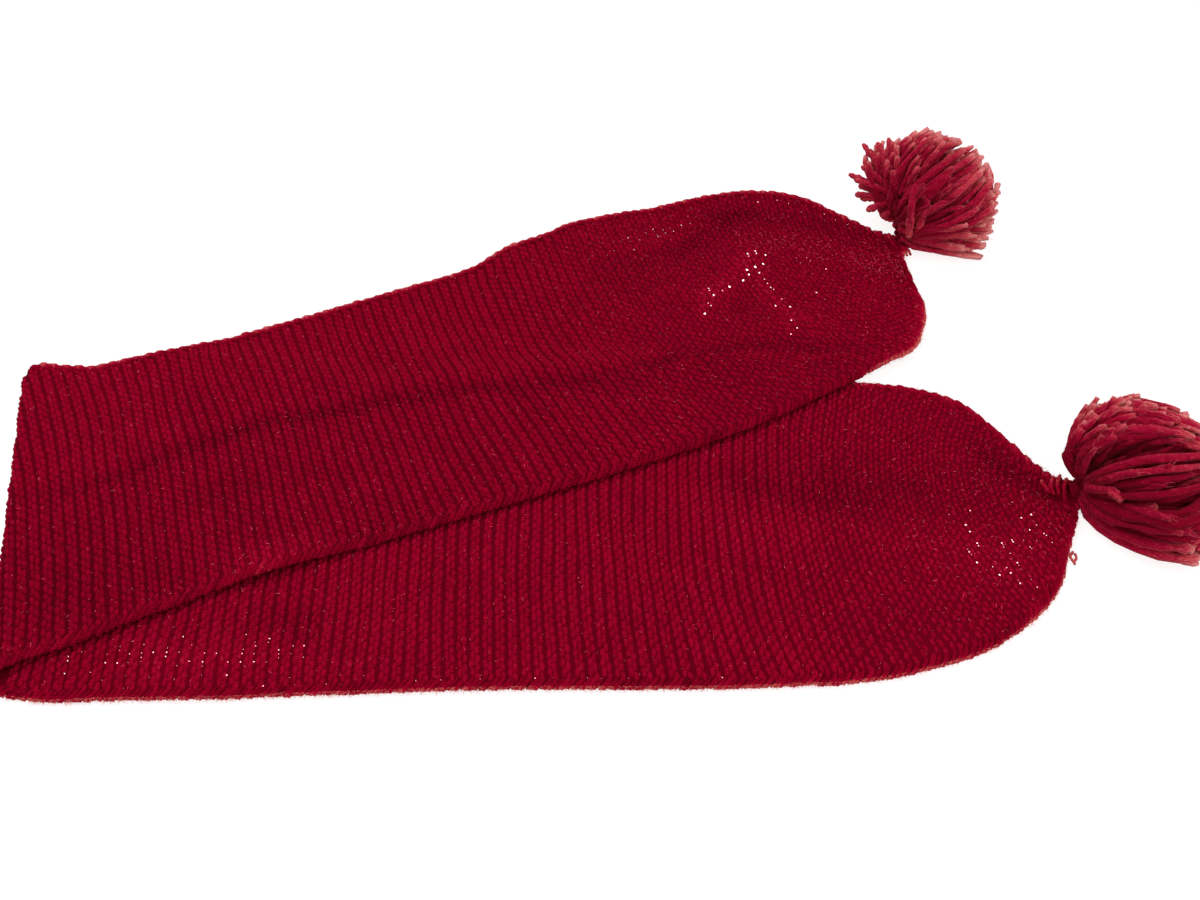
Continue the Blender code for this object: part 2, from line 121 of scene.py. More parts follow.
LOWER_FOLDS = (
    (((40, -50), (54, -57), (68, -63), (87, -70), (116, -76), (140, -73)), 9, -1.5),
    (((192, -36), (207, -57), (217, -70), (228, -79)), 6, -2.0),
    (((150, -100), (190, -112), (212, -118)), 16, 1.8),
    (((60, -92), (110, -94)), 16, 1.0),
    (((-150, -144), (-129, -147), (-117, -158)), 7, -1.6),
    (((-118, -132), (-117, -161), (-117, -184)), 6, 0.8),
    (((-215, -163), (-170, -165), (-138, -162)), 12, 1.5),
)
# Painted shade, where the cloth looks darker than its relief makes it: points, half width, and
# change of tone.
LOWER_SHADES = (
    (((86, -63), (140, -69), (196, -72)), 22, -0.15),
)
UPPER_SHADES = (
    (KNOT_HOLLOW, 14, -0.05),
    (((-292, -118), (-200, -146)), 34, -0.09),
)
LIP_HEIGHT = 4.0 * MM      # curled edge at the front of the upper end
LIP_WIDTH = 6.5 * MM
LIP_START, LIP_END = 20 * MM, 104 * MM     # rows
PLEAT_HEIGHT = 1.0 * MM    # gathers round a knot
PLEATS = 9 * math.pi       # phase of the gathers over the cloth's width
CORNER_RADIUS = 12.5 * MM  # the fold's back corner, seen from above
CORNER_BACK = math.radians(17.0)   # heading of the back selvedge there

# ---------------- yarn

STITCH = 4.6 * MM          # one stitch along a ridge
GATHERED = 3.5 * MM        # the same where the strip is drawn together
MOST_STITCHES = 38
YARN = 1.30 * MM           # radius of the yarn in a stitch
OPEN_YARN = 1.14 * MM      # the same where the ridges are pulled open
CREST = 1.02 * MM          # how far the two arcs of a stitch reach to each side of their ridge
OPEN_CREST = 1.45 * MM
WANDER = 0.8 * MM          # how far the ridges stray from straight
CORE = 1.05 * MM           # half the thickness of the ground between the ridges
SELVEDGE_ROOM = 5.6 * MM   # width that the two selvedges take up
MEAN_WIDTH = 190 * MM
UNDERSIDE = 3.1            # turning angle past which the cloth's other face shows
CLOTH_FIBRES = 34000       # tried places; only some keep their fibre
EDGE_FIBRES = 9000         # the same for each selvedge
POMPOM_FIBRES = 15000
FLOOR_GAP = 0.15 * MM      # the least height of cloth and fibres above the surface
END_MARGIN = 0.2 * MM      # stitches stop this far from the strip's ends


def smooth_curve(rows, column, at):
    """Reads a table at any row: a smooth curve through its values that adds no bumps of its own."""
    place = np.array([row[0] for row in rows], float)
    value = np.array([row[column] for row in rows], float)
    step = np.diff(place)
    slope = np.diff(value) / step
    tangent = np.zeros(len(place))
    tangent[0], tangent[-1] = slope[0], slope[-1]
    for i in range(1, len(place) - 1):
        if slope[i - 1] * slope[i] > 0:
            ahead, behind = 2 * step[i] + step[i - 1], step[i] + 2 * step[i - 1]
            tangent[i] = (ahead + behind) / (ahead / slope[i - 1] + behind / slope[i])
    at = np.clip(np.asarray(at, float), place[0], place[-1])
    i = np.clip(np.searchsorted(place, at) - 1, 0, len(slope) - 1)
    t = (at - place[i]) / step[i]
    start = value[i] * (1 + 2 * t) * (1 - t) ** 2 + tangent[i] * step[i] * t * (1 - t) ** 2
    end = value[i + 1] * t * t * (3 - 2 * t) + tangent[i + 1] * step[i] * t * t * (t - 1)
    return start + end


def ease(value):
    """Rises smoothly from 0 to 1 while the value goes from 0 to 1."""
    value = np.clip(value, 0.0, 1.0)
    return value * value * (3 - 2 * value)


def unit(angle):
    return np.array([math.cos(angle), math.sin(angle)])


def normalised(vectors):
    """The same vectors with length 1."""
    return vectors / (np.linalg.norm(vectors, axis=-1, keepdims=True) + 1e-12)


def arm_width(table, row):
    """An arm's whole width at a row."""
    return (smooth_curve(table, 2, row / MM) + smooth_curve(table, 4, row / MM)) * MM


def arm_place(table, row, across):
    """Distance behind the arm's tip, and sideways from its middle line."""
    row_mm = np.asarray(row, float) / MM
    shape = {name: smooth_curve(table, i, row_mm) * MM
             for i, name in enumerate(ARM_COLUMNS) if i > 0}
    front, back = shape["front_width"], shape["back_width"]
    side = -front + across * (front + back)
    ahead = np.where(side < 0, shape["front_lead"] * (side / front) ** 2,
                     shape["back_lead"] * (side / back) ** 2)
    return row - ahead, side


def upper_plan(row, across):
    behind, side = arm_place(UPPER_ARM, row, across)
    along = unit(UPPER_HEADING)
    sideways = np.array([-along[1], along[0]])
    return UPPER_TIP - behind[..., None] * along + side[..., None] * sideways


def past_fold(plan):
    """How far a point of the flat cloth lies beyond the line where the turn starts."""
    inward = unit(FOLD_NORMAL)
    return (FOLD_POINT + inward * (CLOTH / 2 + BEND_RADIUS) - plan) @ inward


def turned_plan(row, across):
    """The upper arm and the turn from above, the turning angle and the distance past the fold."""
    plan = upper_plan(row, across)
    beyond = past_fold(plan)
    angle = np.clip(beyond / BEND_RADIUS, 0, math.pi)
    under = -(beyond - math.pi * BEND_RADIUS)
    reached = np.where(beyond < 0, beyond,
                       np.where(angle < math.pi, BEND_RADIUS * np.sin(angle), under))
    return plan + (beyond - reached)[..., None] * unit(FOLD_NORMAL), angle, beyond


def find_corner():
    """Where the back selvedge meets the outermost line of the turn."""
    rows = np.linspace(440 * MM, 560 * MM, 400)
    plan, angle, _ = turned_plan(rows, np.ones_like(rows))
    return np.array([np.interp(math.pi / 2, angle, plan[:, i]) for i in (0, 1)])


CORNER = find_corner()


def folded_plan(row, across):
    """The upper arm and the turn from above, with the fold's back corner rounded."""
    plan, angle, beyond = turned_plan(row, across)
    along_back, along_turn = unit(CORNER_BACK), unit(FOLD_NORMAL - math.pi / 2)
    frame_of = np.linalg.inv(np.stack([along_back, along_turn], axis=1))
    inward = (plan - CORNER) @ frame_of.T
    a, b = np.moveaxis(1 - inward / CORNER_RADIUS, -1, 0)
    round_a = a * np.sqrt(1 - np.clip(b, 0, 1) ** 2 / 2)
    round_b = b * np.sqrt(1 - np.clip(a, 0, 1) ** 2 / 2)
    moved = np.where(((a > 0) & (b > 0))[..., None],
                     np.stack([a - round_a, b - round_b], axis=-1), 0.0)
    shift = moved @ np.stack([along_back, along_turn])
    return plan + CORNER_RADIUS * shift, angle, beyond


def lower_line():
    """The lower arm's middle line from the turn on: distances, points and headings."""
    step = 1 * MM
    distance = np.arange(0, LOWER_LENGTH + 40 * MM, step)
    heading = np.radians(smooth_curve(LOWER_HEADING, 1, distance / MM))
    steps = np.stack([np.cos(heading), np.sin(heading)], axis=1) * step
    points = np.concatenate([[[0.0, 0.0]], np.cumsum(steps, axis=0)[:-1]])
    front, back = (float(smooth_curve(UPPER_ARM, i, TURN_END / MM)) * MM for i in (2, 4))
    across = (front - LOWER_LINE_SHIFT) / (front + back)
    start = folded_plan(np.array([TURN_END]), np.array([across]))[0]
    return distance, points + start[0], heading


LINE_DISTANCE, LINE_POINTS, LINE_ANGLES = lower_line()


def lower_plan(row, across):
    behind, side = arm_place(LOWER_ARM, row, across)
    at = LOWER_LENGTH - behind
    x, y = (np.interp(at, LINE_DISTANCE, LINE_POINTS[:, i]) for i in (0, 1))
    heading = np.interp(at, LINE_DISTANCE, LINE_ANGLES)
    before = np.minimum(at, 0.0)
    x = x + before * np.cos(heading) - side * np.sin(heading)
    y = y + before * np.sin(heading) + side * np.cos(heading)
    return np.stack([x, y], axis=-1)


def by_x(points):
    return points[np.argsort(points[:, 0])]


def under_back_edge():
    """Back selvedge of the arm beneath, from where it comes out of the turn."""
    rows = np.linspace(STRAIGHT_RIDGES * PITCH, TURN_END, 120)
    turned, angle, _ = folded_plan(rows, np.ones_like(rows))
    rows = np.linspace(LOWER_LENGTH, 0, 240)
    return by_x(np.concatenate([turned[angle >= math.pi], lower_plan(rows, np.ones_like(rows))]))


def over_front_edge():
    """Front selvedge of the arm on top, from the fold to where it turns up to the upper knot."""
    rows = np.linspace(48 * MM, 560 * MM, 260)
    return by_x(upper_plan(rows, np.zeros_like(rows)))


UNDER_EDGE = under_back_edge()
OVER_EDGE = over_front_edge()


def outside_lower(plan):
    """How far a point lies outside the arm beneath, at its back edge or its end."""
    beyond = plan[..., 1] - np.interp(plan[..., 0], UNDER_EDGE[:, 0], UNDER_EDGE[:, 1])
    return np.maximum(beyond, plan[..., 0] - UNDER_EDGE[-1, 0])


def under_upper(plan):
    """How far a point lies behind the front selvedge of the arm on top. Below 0 it is in view."""
    over = plan[..., 1] - np.interp(plan[..., 0], OVER_EDGE[:, 0], OVER_EDGE[:, 1])
    return np.where(plan[..., 0] > OVER_EDGE[-1, 0], -1.0, over)


def held_up(plan):
    """1 where the arm on top rests on the other one or the fold, and 0 where it is down."""
    past_step = (outside_lower(plan) - STEP_MARGIN) / DROP_REACH
    near_fold = ease((past_fold(plan) + 62 * MM) / (34 * MM))
    return np.maximum(1 - ease(past_step), near_fold)


def strip(plan):
    """Height of the raised strip along the step."""
    beside = np.exp(-((outside_lower(plan) - STEP_MARGIN) / (13 * MM)) ** 2)
    span = (ease((plan[..., 0] + 230 * MM) / (90 * MM))
            * ease((130 * MM - plan[..., 0]) / (60 * MM)))
    return STRIP_HEIGHT * beside * span


def relief(plan, folds):
    """Sum of the folds' heights, each strongest along its line and fading to its ends."""
    total = np.zeros(plan.shape[:-1])
    for line, half_width, height in folds:
        points = np.array(line, float) * MM
        nearest = np.full(plan.shape[:-1], np.inf)
        along = np.zeros(plan.shape[:-1])
        for i, (start, end) in enumerate(zip(points[:-1], points[1:])):
            run = end - start
            t = np.clip(((plan - start) @ run) / (run @ run), 0, 1)
            gap = np.linalg.norm(plan - start - t[..., None] * run, axis=-1)
            along = np.where(gap < nearest, (i + t) / (len(points) - 1), along)
            nearest = np.minimum(gap, nearest)
        fade = np.sin(math.pi * np.clip(0.12 + 0.76 * along, 0, 1))
        total += height * MM * np.exp(-((nearest / (half_width * MM)) ** 2)) * fade
    return total


def waves(x, y, seed, shortest=20 * MM, longest=90 * MM):
    """Smooth unevenness between about -1 and 1, the same each run."""
    count = 9
    dice = np.random.default_rng(seed)
    total = np.zeros(np.shape(x))
    for _ in range(count):
        length = shortest * (longest / shortest) ** dice.random()
        turn, phase = dice.random(2) * 2 * math.pi
        total += np.sin(2 * math.pi * (x * math.cos(turn) + y * math.sin(turn)) / length + phase)
    return total / math.sqrt(count)


def line_distance(plan, line):
    """Distance in the plane to a line of points given in millimetres, above 0 behind it."""
    points = np.array(line, float) * MM
    return plan[..., 1] - np.interp(plan[..., 0], points[:, 0], points[:, 1])


def gathered(row):
    """The cloth's thickness near a knot, and how high its pleats stand there."""
    thick = CLOTH * (1 + GATHER_SWELL * np.exp(-(row / GATHER_REACH) ** 2))
    return thick, PLEAT_HEIGHT * (np.exp(-(row / (20 * MM)) ** 2) * ease(row / (4 * MM)))


def upper_middle(run, across):
    """Middle surface of the upper arm and the turn: points, turning angle, thickness, relief."""
    row = np.minimum(run, TURN_END)
    plan, angle, beyond = folded_plan(row, across)
    thick, pleats = gathered(row)
    folds = relief(plan, UPPER_FOLDS) + 0.25 * MM * waves(plan[..., 0], plan[..., 1], 3)
    folds = folds + pleats * np.sin(across * PLEATS + 0.6)
    lip = ease((row - LIP_START) / (18 * MM)) * ease((LIP_END - row) / (30 * MM))
    from_front = across * arm_width(UPPER_ARM, row)
    folds = folds + LIP_HEIGHT * lip * np.exp(-(from_front / LIP_WIDTH) ** 2)
    folds = folds * ease(-beyond / (30 * MM))
    flat_top = (CLOTH + LAYER_GAP) * held_up(plan) + strip(plan) + thick / 2 + folds
    crown = CLOTH / 2 + 2 * BEND_RADIUS
    top = flat_top + (crown - flat_top) * ease(1 + beyond / BULGE_REACH)
    height = np.where(beyond < 0, top, CLOTH / 2 + BEND_RADIUS * (1 + np.cos(angle)))
    return np.concatenate([plan, height[..., None]], axis=-1), angle, thick, folds


def lower_middle(run, across):
    """Middle surface of the lower arm: points, thickness and relief."""
    row = np.clip(TOTAL - run, 0, LOWER_LENGTH)
    plan = lower_plan(row, across)
    thick, pleats = gathered(row)
    shown = ease((-under_upper(plan) - 1 * MM) / (12 * MM)) * ease((run - TURN_END) / (20 * MM))
    folds = np.maximum(relief(plan, LOWER_FOLDS), -1.5 * MM) * shown
    folds = folds + pleats * (1 + np.sin(across * PLEATS))
    folds = folds + 0.2 * MM * (1 + waves(plan[..., 0], plan[..., 1], 4)) * shown
    return np.concatenate([plan, (thick / 2 + folds)[..., None]], axis=-1), thick, folds


def middle(run, across):
    """The cloth's middle surface: points, turning angle, thickness and relief."""
    upper = run <= TURN_END
    upper_points, angle, upper_thick, upper_folds = upper_middle(run, across)
    lower_points, lower_thick, lower_folds = lower_middle(run, across)
    points = np.where(upper[..., None], upper_points, lower_points)
    points[..., :2] += SHIFT
    return (points, np.where(upper, angle, math.pi), np.where(upper, upper_thick, lower_thick),
            np.where(upper, upper_folds, lower_folds))


def shade_of(run, across):
    """Painted light and shade of the cloth: darker in folds and where two layers hold back the
    light.
    """
    point, angle, _, folds = middle(run, across)
    plan = point[..., :2] - SHIFT
    upper = run <= TURN_END
    # Painted shade: in front of the step the cloth lies double and lets less light through.
    behind = line_distance(plan, STEP_LINE)
    doubled = ease((3 * MM - behind) / (6 * MM))
    dark_line = np.exp(-((behind + 0.5 * MM) / (5.2 * MM)) ** 2)
    # The dark line is weaker towards both of its ends.
    faint = (ease((190 * MM - plan[..., 0]) / (90 * MM))
             * (0.35 + 0.65 * ease((plan[..., 0] + 290 * MM) / (170 * MM))))
    # Painted light: light from the surface gets through along the front selvedge, and onto the
    # cloth beside it.
    near_edge = np.exp(-(under_upper(plan) / (5 * MM)) ** 2)
    on_top = -0.07 * doubled - 0.10 * dark_line * faint + 0.12 * near_edge
    beside = np.exp(-(np.minimum(under_upper(plan), 0) / (5 * MM)) ** 2)
    beneath = 0.12 * beside * (under_upper(plan) > -40 * MM)
    shade = np.where(upper & (angle < 2.2), on_top, beneath)
    # Painted shade near the knots and along the listed shades; painted shade in the folds' hollows
    # and painted light on their raised parts.
    near_knot = np.exp(-(np.minimum(run, TOTAL - run) / (14 * MM)) ** 2)
    shade = shade + np.where(upper, relief(plan, UPPER_SHADES), relief(plan, LOWER_SHADES)) / MM
    return shade + 0.11 * folds / MM - 0.22 * near_knot


def on_cloth(run, across):
    """Point, outward normal, unit vectors along the run and across, turning angle, thickness."""
    reach, step = 0.6 * MM, 0.004
    point, angle, thick, _ = middle(run, across)
    along = (middle(np.minimum(run + reach, TOTAL), across)[0]
             - middle(np.maximum(run - reach, 0), across)[0])
    sideways = (middle(run, np.minimum(across + step, 1))[0]
                - middle(run, np.maximum(across - step, 0))[0])
    normal = normalised(np.cross(sideways, along))
    return point, normal, normalised(along), normalised(sideways), angle, thick


def width_at(run):
    row = np.clip(TOTAL - run, 0, LOWER_LENGTH)
    return np.where(run <= TURN_END, arm_width(UPPER_ARM, run), arm_width(LOWER_ARM, row))


# ---------------- meshes

def build(name, points, faces, material, uv, tone):
    """A smooth mesh of quads or triangles, with texture coordinates and a tone for each point."""
    mesh = bpy.data.meshes.new(name)
    points = np.asarray(points, np.float32)
    faces = np.asarray(faces, np.int32)
    corners = faces.shape[1]
    mesh.vertices.add(len(points))
    mesh.vertices.foreach_set("co", points.ravel())
    mesh.loops.add(faces.size)
    mesh.loops.foreach_set("vertex_index", faces.ravel())
    mesh.polygons.add(len(faces))
    mesh.polygons.foreach_set("loop_start", np.arange(0, faces.size, corners, dtype=np.int32))
    mesh.polygons.foreach_set("use_smooth", np.ones(len(faces), bool))
    layer = mesh.uv_layers.new(name="UVMap")
    layer.data.foreach_set("uv", np.asarray(uv, np.float32)[faces.ravel()].ravel())
    layer = mesh.attributes.new("tone", "FLOAT", "POINT")
    layer.data.foreach_set("value", np.asarray(tone, np.float32))
    mesh.update(calc_edges=True)
    mesh.validate()
    mesh.materials.append(material)
    item = bpy.data.objects.new(name, mesh)
    bpy.context.scene.collection.objects.link(item)
    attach(item, "root")
    return item


def quads(index):
    """Corners of the squares of a grid of point numbers, in the last two directions."""
    return np.stack([index[..., :-1, :-1], index[..., :-1, 1:],
                     index[..., 1:, 1:], index[..., 1:, :-1]], axis=-1).reshape(-1, 4)


def sweep(centres, normals, radii, sides, start=0.0, end=2 * math.pi):
    """Tubes along many paths at once. centres is (tubes, points, 3), radii (tubes, points).

    The ring runs from one angle to the other about the path, measured from the side towards the
    normal. A full turn is closed, and a part turn leaves the hidden underside open.
    """
    whole = end - start >= 2 * math.pi
    tubes, count, _ = centres.shape
    tangent = normalised(np.gradient(centres, axis=1))
    side = normalised(np.cross(tangent, normals))
    up = np.cross(side, tangent)
    turns = np.linspace(start, end, sides + 1)
    if whole:
        turns = turns[:-1]
    ring = (np.cos(turns)[:, None] * side[:, :, None, :]
            + np.sin(turns)[:, None] * up[:, :, None, :])
    points = centres[:, :, None, :] + radii[:, :, None, None] * ring
    steps = np.linalg.norm(np.diff(centres, axis=1), axis=-1)
    length = np.concatenate([np.zeros((tubes, 1)), np.cumsum(steps, axis=1)], axis=1)
    uv = np.stack(np.broadcast_arrays(length[:, :, None] * 100,
                                      (turns / (2 * math.pi))[None, None, :]), axis=-1)
    across = len(turns)
    index = np.arange(tubes * count * across).reshape(tubes, count, across)
    if whole:
        index = np.concatenate([index, index[:, :, :1]], axis=2)
    return points.reshape(-1, 3), quads(index), uv.reshape(-1, 2)


def join(*pieces):
    """Several sets of points, faces and texture coordinates as one."""
    points, faces, uvs = zip(*pieces)
    starts = np.cumsum([0] + [len(some) for some in points[:-1]])
    faces = [some + start for some, start in zip(faces, starts)]
    return np.concatenate(points), np.concatenate(faces), np.concatenate(uvs)


def held_above(points, height):
    """Moves the points that lie lower than a height up to it."""
    points[..., 2] = np.maximum(points[..., 2], height)


# ---------------- materials

def node(tree, kind, **settings):
    made = tree.nodes.new(kind)
    for key, value in settings.items():
        if key in made.bl_rna.properties:
            setattr(made, key, value)
        else:
            made.inputs[key.replace("_", " ")].default_value = value
    return made


def calc(tree, operation, *values):
    """The result of a calculation with numbers and other nodes' outputs."""
    made = node(tree, "ShaderNodeMath", operation=operation)
    for socket, value in zip(made.inputs, values):
        if isinstance(value, bpy.types.NodeSocket):
            tree.links.new(value, socket)
        else:
            socket.default_value = value
    return made.outputs[0]


def noise(tree, place, **settings):
    made = node(tree, "ShaderNodeTexNoise", **settings)
    tree.links.new(place, made.inputs["Vector"])
    return made.outputs["Fac"]


def principled(name, **settings):
    """A material with one shader, and its nodes."""
    material = bpy.data.materials.new(name)
    material.use_nodes = True
    shader = material.node_tree.nodes["Principled BSDF"]
    for key, value in settings.items():
        shader.inputs[key.replace("_", " ")].default_value = value
    return material, material.node_tree, shader


BROAD_SHARE = 0.14         # how much the tone varies from place to place
TONE_RANGE = 1.6           # tone of the lightest colour
YARN_PLIES = 3.0


def wool(name, stops, rim, ply=9.0, ply_depth=0.25, fuzz=0.45, sheen=0.06, streaks=0.0,
         grain=1.1, halo=0.0):
    """Matte plied wool. ply is how many plies cross the yarn in a centimetre.

    stops are the colours from dark to light and rim the colour of the sheen. grain is how much
    the tone varies from fibre to fibre and streaks how much along the yarn. halo is painted light:
    it lightens the yarn towards its outline, where light comes through its fuzz.
    """
    material, tree, shader = principled(
        name, Roughness=0.92, Specular_IOR_Level=0.02, Sheen_Weight=sheen, Sheen_Roughness=0.45,
        Sheen_Tint=(*rim, 1))
    link = tree.links.new
    place = node(tree, "ShaderNodeTexCoord").outputs["Object"]
    broad = noise(tree, place, Scale=38.0, Detail=3.0, Roughness=0.6)
    fine = noise(tree, place, Scale=900.0, Detail=4.0, Roughness=0.7)
    # Fibres along the yarn: a noise drawn out along its length.
    uv = node(tree, "ShaderNodeUVMap", uv_map="UVMap").outputs[0]
    drawn_out = node(tree, "ShaderNodeMapping", Scale=(1.5, 9.0, 1.0))
    link(uv, drawn_out.inputs["Vector"])
    strand = noise(tree, drawn_out.outputs[0], Scale=2.2, Detail=3.0, Roughness=0.65)
    tone = node(tree, "ShaderNodeAttribute", attribute_name="tone").outputs["Fac"]
    # Painted light: lighter towards the yarn's outline, where it turns away from the eye.
    facing = node(tree, "ShaderNodeLayerWeight", Blend=0.35).outputs["Facing"]
    for part, share in ((fine, grain), (broad, BROAD_SHARE), (strand, streaks), (facing, halo)):
        tone = calc(tree, "MULTIPLY_ADD", part, share, tone)
    # The noises are 0.5 on average, so that half of their shares is where a tone of 0 lies.
    darkest = (streaks + grain) / 2
    ramp = node(tree, "ShaderNodeMapRange", From_Min=darkest, From_Max=TONE_RANGE + darkest)
    link(tone, ramp.inputs["Value"])
    colour = node(tree, "ShaderNodeValToRGB")
    shades = colour.color_ramp.elements
    while len(shades) < len(stops):
        shades.new(0.5)
    for shade, (position, value) in zip(shades, stops):
        shade.position, shade.color = position, (*value, 1)
    link(ramp.outputs[0], colour.inputs[0])
    link(colour.outputs[0], shader.inputs["Base Color"])
    # The plies stand out as waves that run slantwise round the yarn.
    split = node(tree, "ShaderNodeSeparateXYZ")
    link(uv, split.inputs[0])
    along = calc(tree, "MULTIPLY", split.outputs[0], ply)
    turn = calc(tree, "MULTIPLY_ADD", split.outputs[1], YARN_PLIES, along)
    wave = calc(tree, "SINE", calc(tree, "MULTIPLY", turn, 2 * math.pi))
    height = calc(tree, "MULTIPLY", wave, ply_depth)
    height = calc(tree, "MULTIPLY_ADD", strand if streaks else fine, fuzz, height)
    bump = node(tree, "ShaderNodeBump", Strength=0.9, Distance=0.6 * MM)
    link(height, bump.inputs["Height"])
    link(bump.outputs[0], shader.inputs["Normal"])
    return material


def loose_wool(name, dark, light, rim):
    """Single fibres: smooth, and painted lighter than the yarn, as painted light where they catch
    the light.
    """
    return wool(name, ((0, dark), (0.75, light)), rim, ply_depth=0.0, fuzz=0.1, sheen=0.0)


def gap_light():
    """Painted light: a glow that stands for the lit surface beneath, seen through a gap between
    stitches.
    """
    material, tree, shader = principled("gap_light", Roughness=0.9, Emission_Strength=1.7)
    spots = node(tree, "ShaderNodeTexNoise", Scale=700.0, Detail=1.0).outputs["Fac"]
    tone = node(tree, "ShaderNodeAttribute", attribute_name="tone").outputs["Fac"]
    colour = node(tree, "ShaderNodeMix", data_type="RGBA")
    colour.inputs[6].default_value = (1.0, 0.22, 0.26, 1)
    colour.inputs[7].default_value = (1.0, 0.92, 0.92, 1)
    tree.links.new(calc(tree, "MULTIPLY", spots, tone), colour.inputs[0])
    for socket in ("Base Color", "Emission Color"):
        tree.links.new(colour.outputs[2], shader.inputs[socket])
    return material


# The knit's lightest, salmon colour is reached where painted light is added, as on the selvedges.
KNIT = wool("knit_wool", ((0, (0.075, 0.0, 0.004)), (0.42, (0.28, 0.0, 0.016)),
                          (0.78, (0.44, 0.002, 0.029)), (1.0, (0.66, 0.10, 0.10))),
            (0.9, 0.04, 0.10), grain=1.9)
# The ground's colours are darker than the yarn's: painted shade in the narrow gaps between the
# ridges.
GROUND = wool("ground_wool", ((0, (0.03, 0.0, 0.002)), (0.75, (0.26, 0.0, 0.016))),
              (0.9, 0.04, 0.10), ply_depth=0.0, fuzz=1.2, sheen=0.0)
# The pompom's lightest, salmon colours are reached by the painted light at the ends and towards the
# outline.
POMPOM = wool("pompom_wool", ((0, (0.15, 0.0, 0.008)), (0.36, (0.26, 0.002, 0.019)),
                              (0.56, (0.44, 0.006, 0.040)), (0.78, (0.68, 0.075, 0.10)),
                              (1.0, (0.92, 0.30, 0.29))),
              (1.0, 0.30, 0.32), ply=1.1, ply_depth=0.45, fuzz=1.2, streaks=1.1, grain=0.9,
              halo=0.32)
# The fibres' light colours, and the rim fibres' salmon, are painted light caught by and coming
# through the fuzz.
FIBRE = loose_wool("loose_fibre", (0.80, 0.03, 0.08), (1.0, 0.13, 0.21), (1.0, 0.4, 0.4))
RIM_FIBRE = loose_wool("rim_fibre", (0.60, 0.08, 0.07), (0.85, 0.24, 0.20), (1.0, 0.6, 0.6))
POMPOM_FIBRE = loose_wool("pompom_fibre", (0.66, 0.02, 0.06), (0.95, 0.17, 0.21),
                          (1.0, 0.6, 0.6))
GLOW = gap_light()

# ---------------- the ground of the cloth


def openness(run):
    """1 at the ends of the scarf, where the ridges are pulled open, and 0 in its middle."""
    upper = 1 - ease((run - 120 * MM) / (140 * MM))
    lower = 1 - ease((TOTAL - run - 70 * MM) / (110 * MM))
    return np.maximum(upper, lower)


def ground():
    """The thin sheet under the yarn: one closed shell from knot to knot, round the fold."""
    runs = np.linspace(0, TOTAL, RIDGES * 2 + 1)
    columns = 37
    run, place = np.meshgrid(runs, np.linspace(0, 1, columns), indexing="ij")
    inset = np.minimum(1.3 * MM / width_at(run), 0.2)
    place = inset + place * (1 - 2 * inset)
    point, normal, _, _, _, thick = on_cloth(run, place)
    half = CORE * thick / CLOTH
    points = np.stack([point + normal * half[..., None], point - normal * half[..., None]])
    held_above(points, FLOOR_GAP)
    count = run.size
    index = np.arange(count).reshape(run.shape)
    squares = quads(index)[:, [0, 3, 2, 1]]
    rim = np.concatenate([index[:, 0], index[-1, 1:], index[-2::-1, -1], index[0, -2:0:-1]])
    turn = np.roll(rim, -1)
    rim_faces = np.stack([rim, turn, turn + count, rim + count], axis=-1)
    faces = np.concatenate([squares[:, ::-1], squares + count, rim_faces])
    uv = np.tile(np.stack([run.ravel() * 100, place.ravel() * 40], axis=-1), (2, 1))
    # Painted light and shade from shade_of, and painted light where the ridges are pulled open and
    # light comes through the looser knit.
    tone = np.tile(0.50 + shade_of(run, place).ravel() + 0.15 * openness(run).ravel(), 2)
    return build("cloth_ground", points.reshape(-1, 3), faces, GROUND, uv, tone)


# ---------------- stitches

def stitch_places(first, last, face):
    """Run, place across, side of the ridge and spacing of the stitches that show on a face."""
    rows = []
    for ridge in range(first, last):
        run = (ridge + 0.5) * PITCH
        width = float(width_at(np.array(run)))
        inner = width - SELVEDGE_ROOM
        if inner < GATHERED:
            continue
        count = int(min(MOST_STITCHES, max(2, round(inner / GATHERED))))
        step = inner / count
        edge = (width - inner) / 2
        for side, offset, number in ((1, 0.5, count), (-1, 1.0, count - 1)):
            rows += [(run, (edge + (j + offset) * step) / width, side, step)
                     for j in range(number)]
    places = np.array(rows, float).T
    point, _, _, _, angle, _ = on_cloth(places[0], places[1])
    if face > 0:
        shows = angle < 2.85
    else:
        shows = (angle > UNDERSIDE) & (under_upper(point[:, :2] - SHIFT) < 9 * MM)
    return places[:, shows]


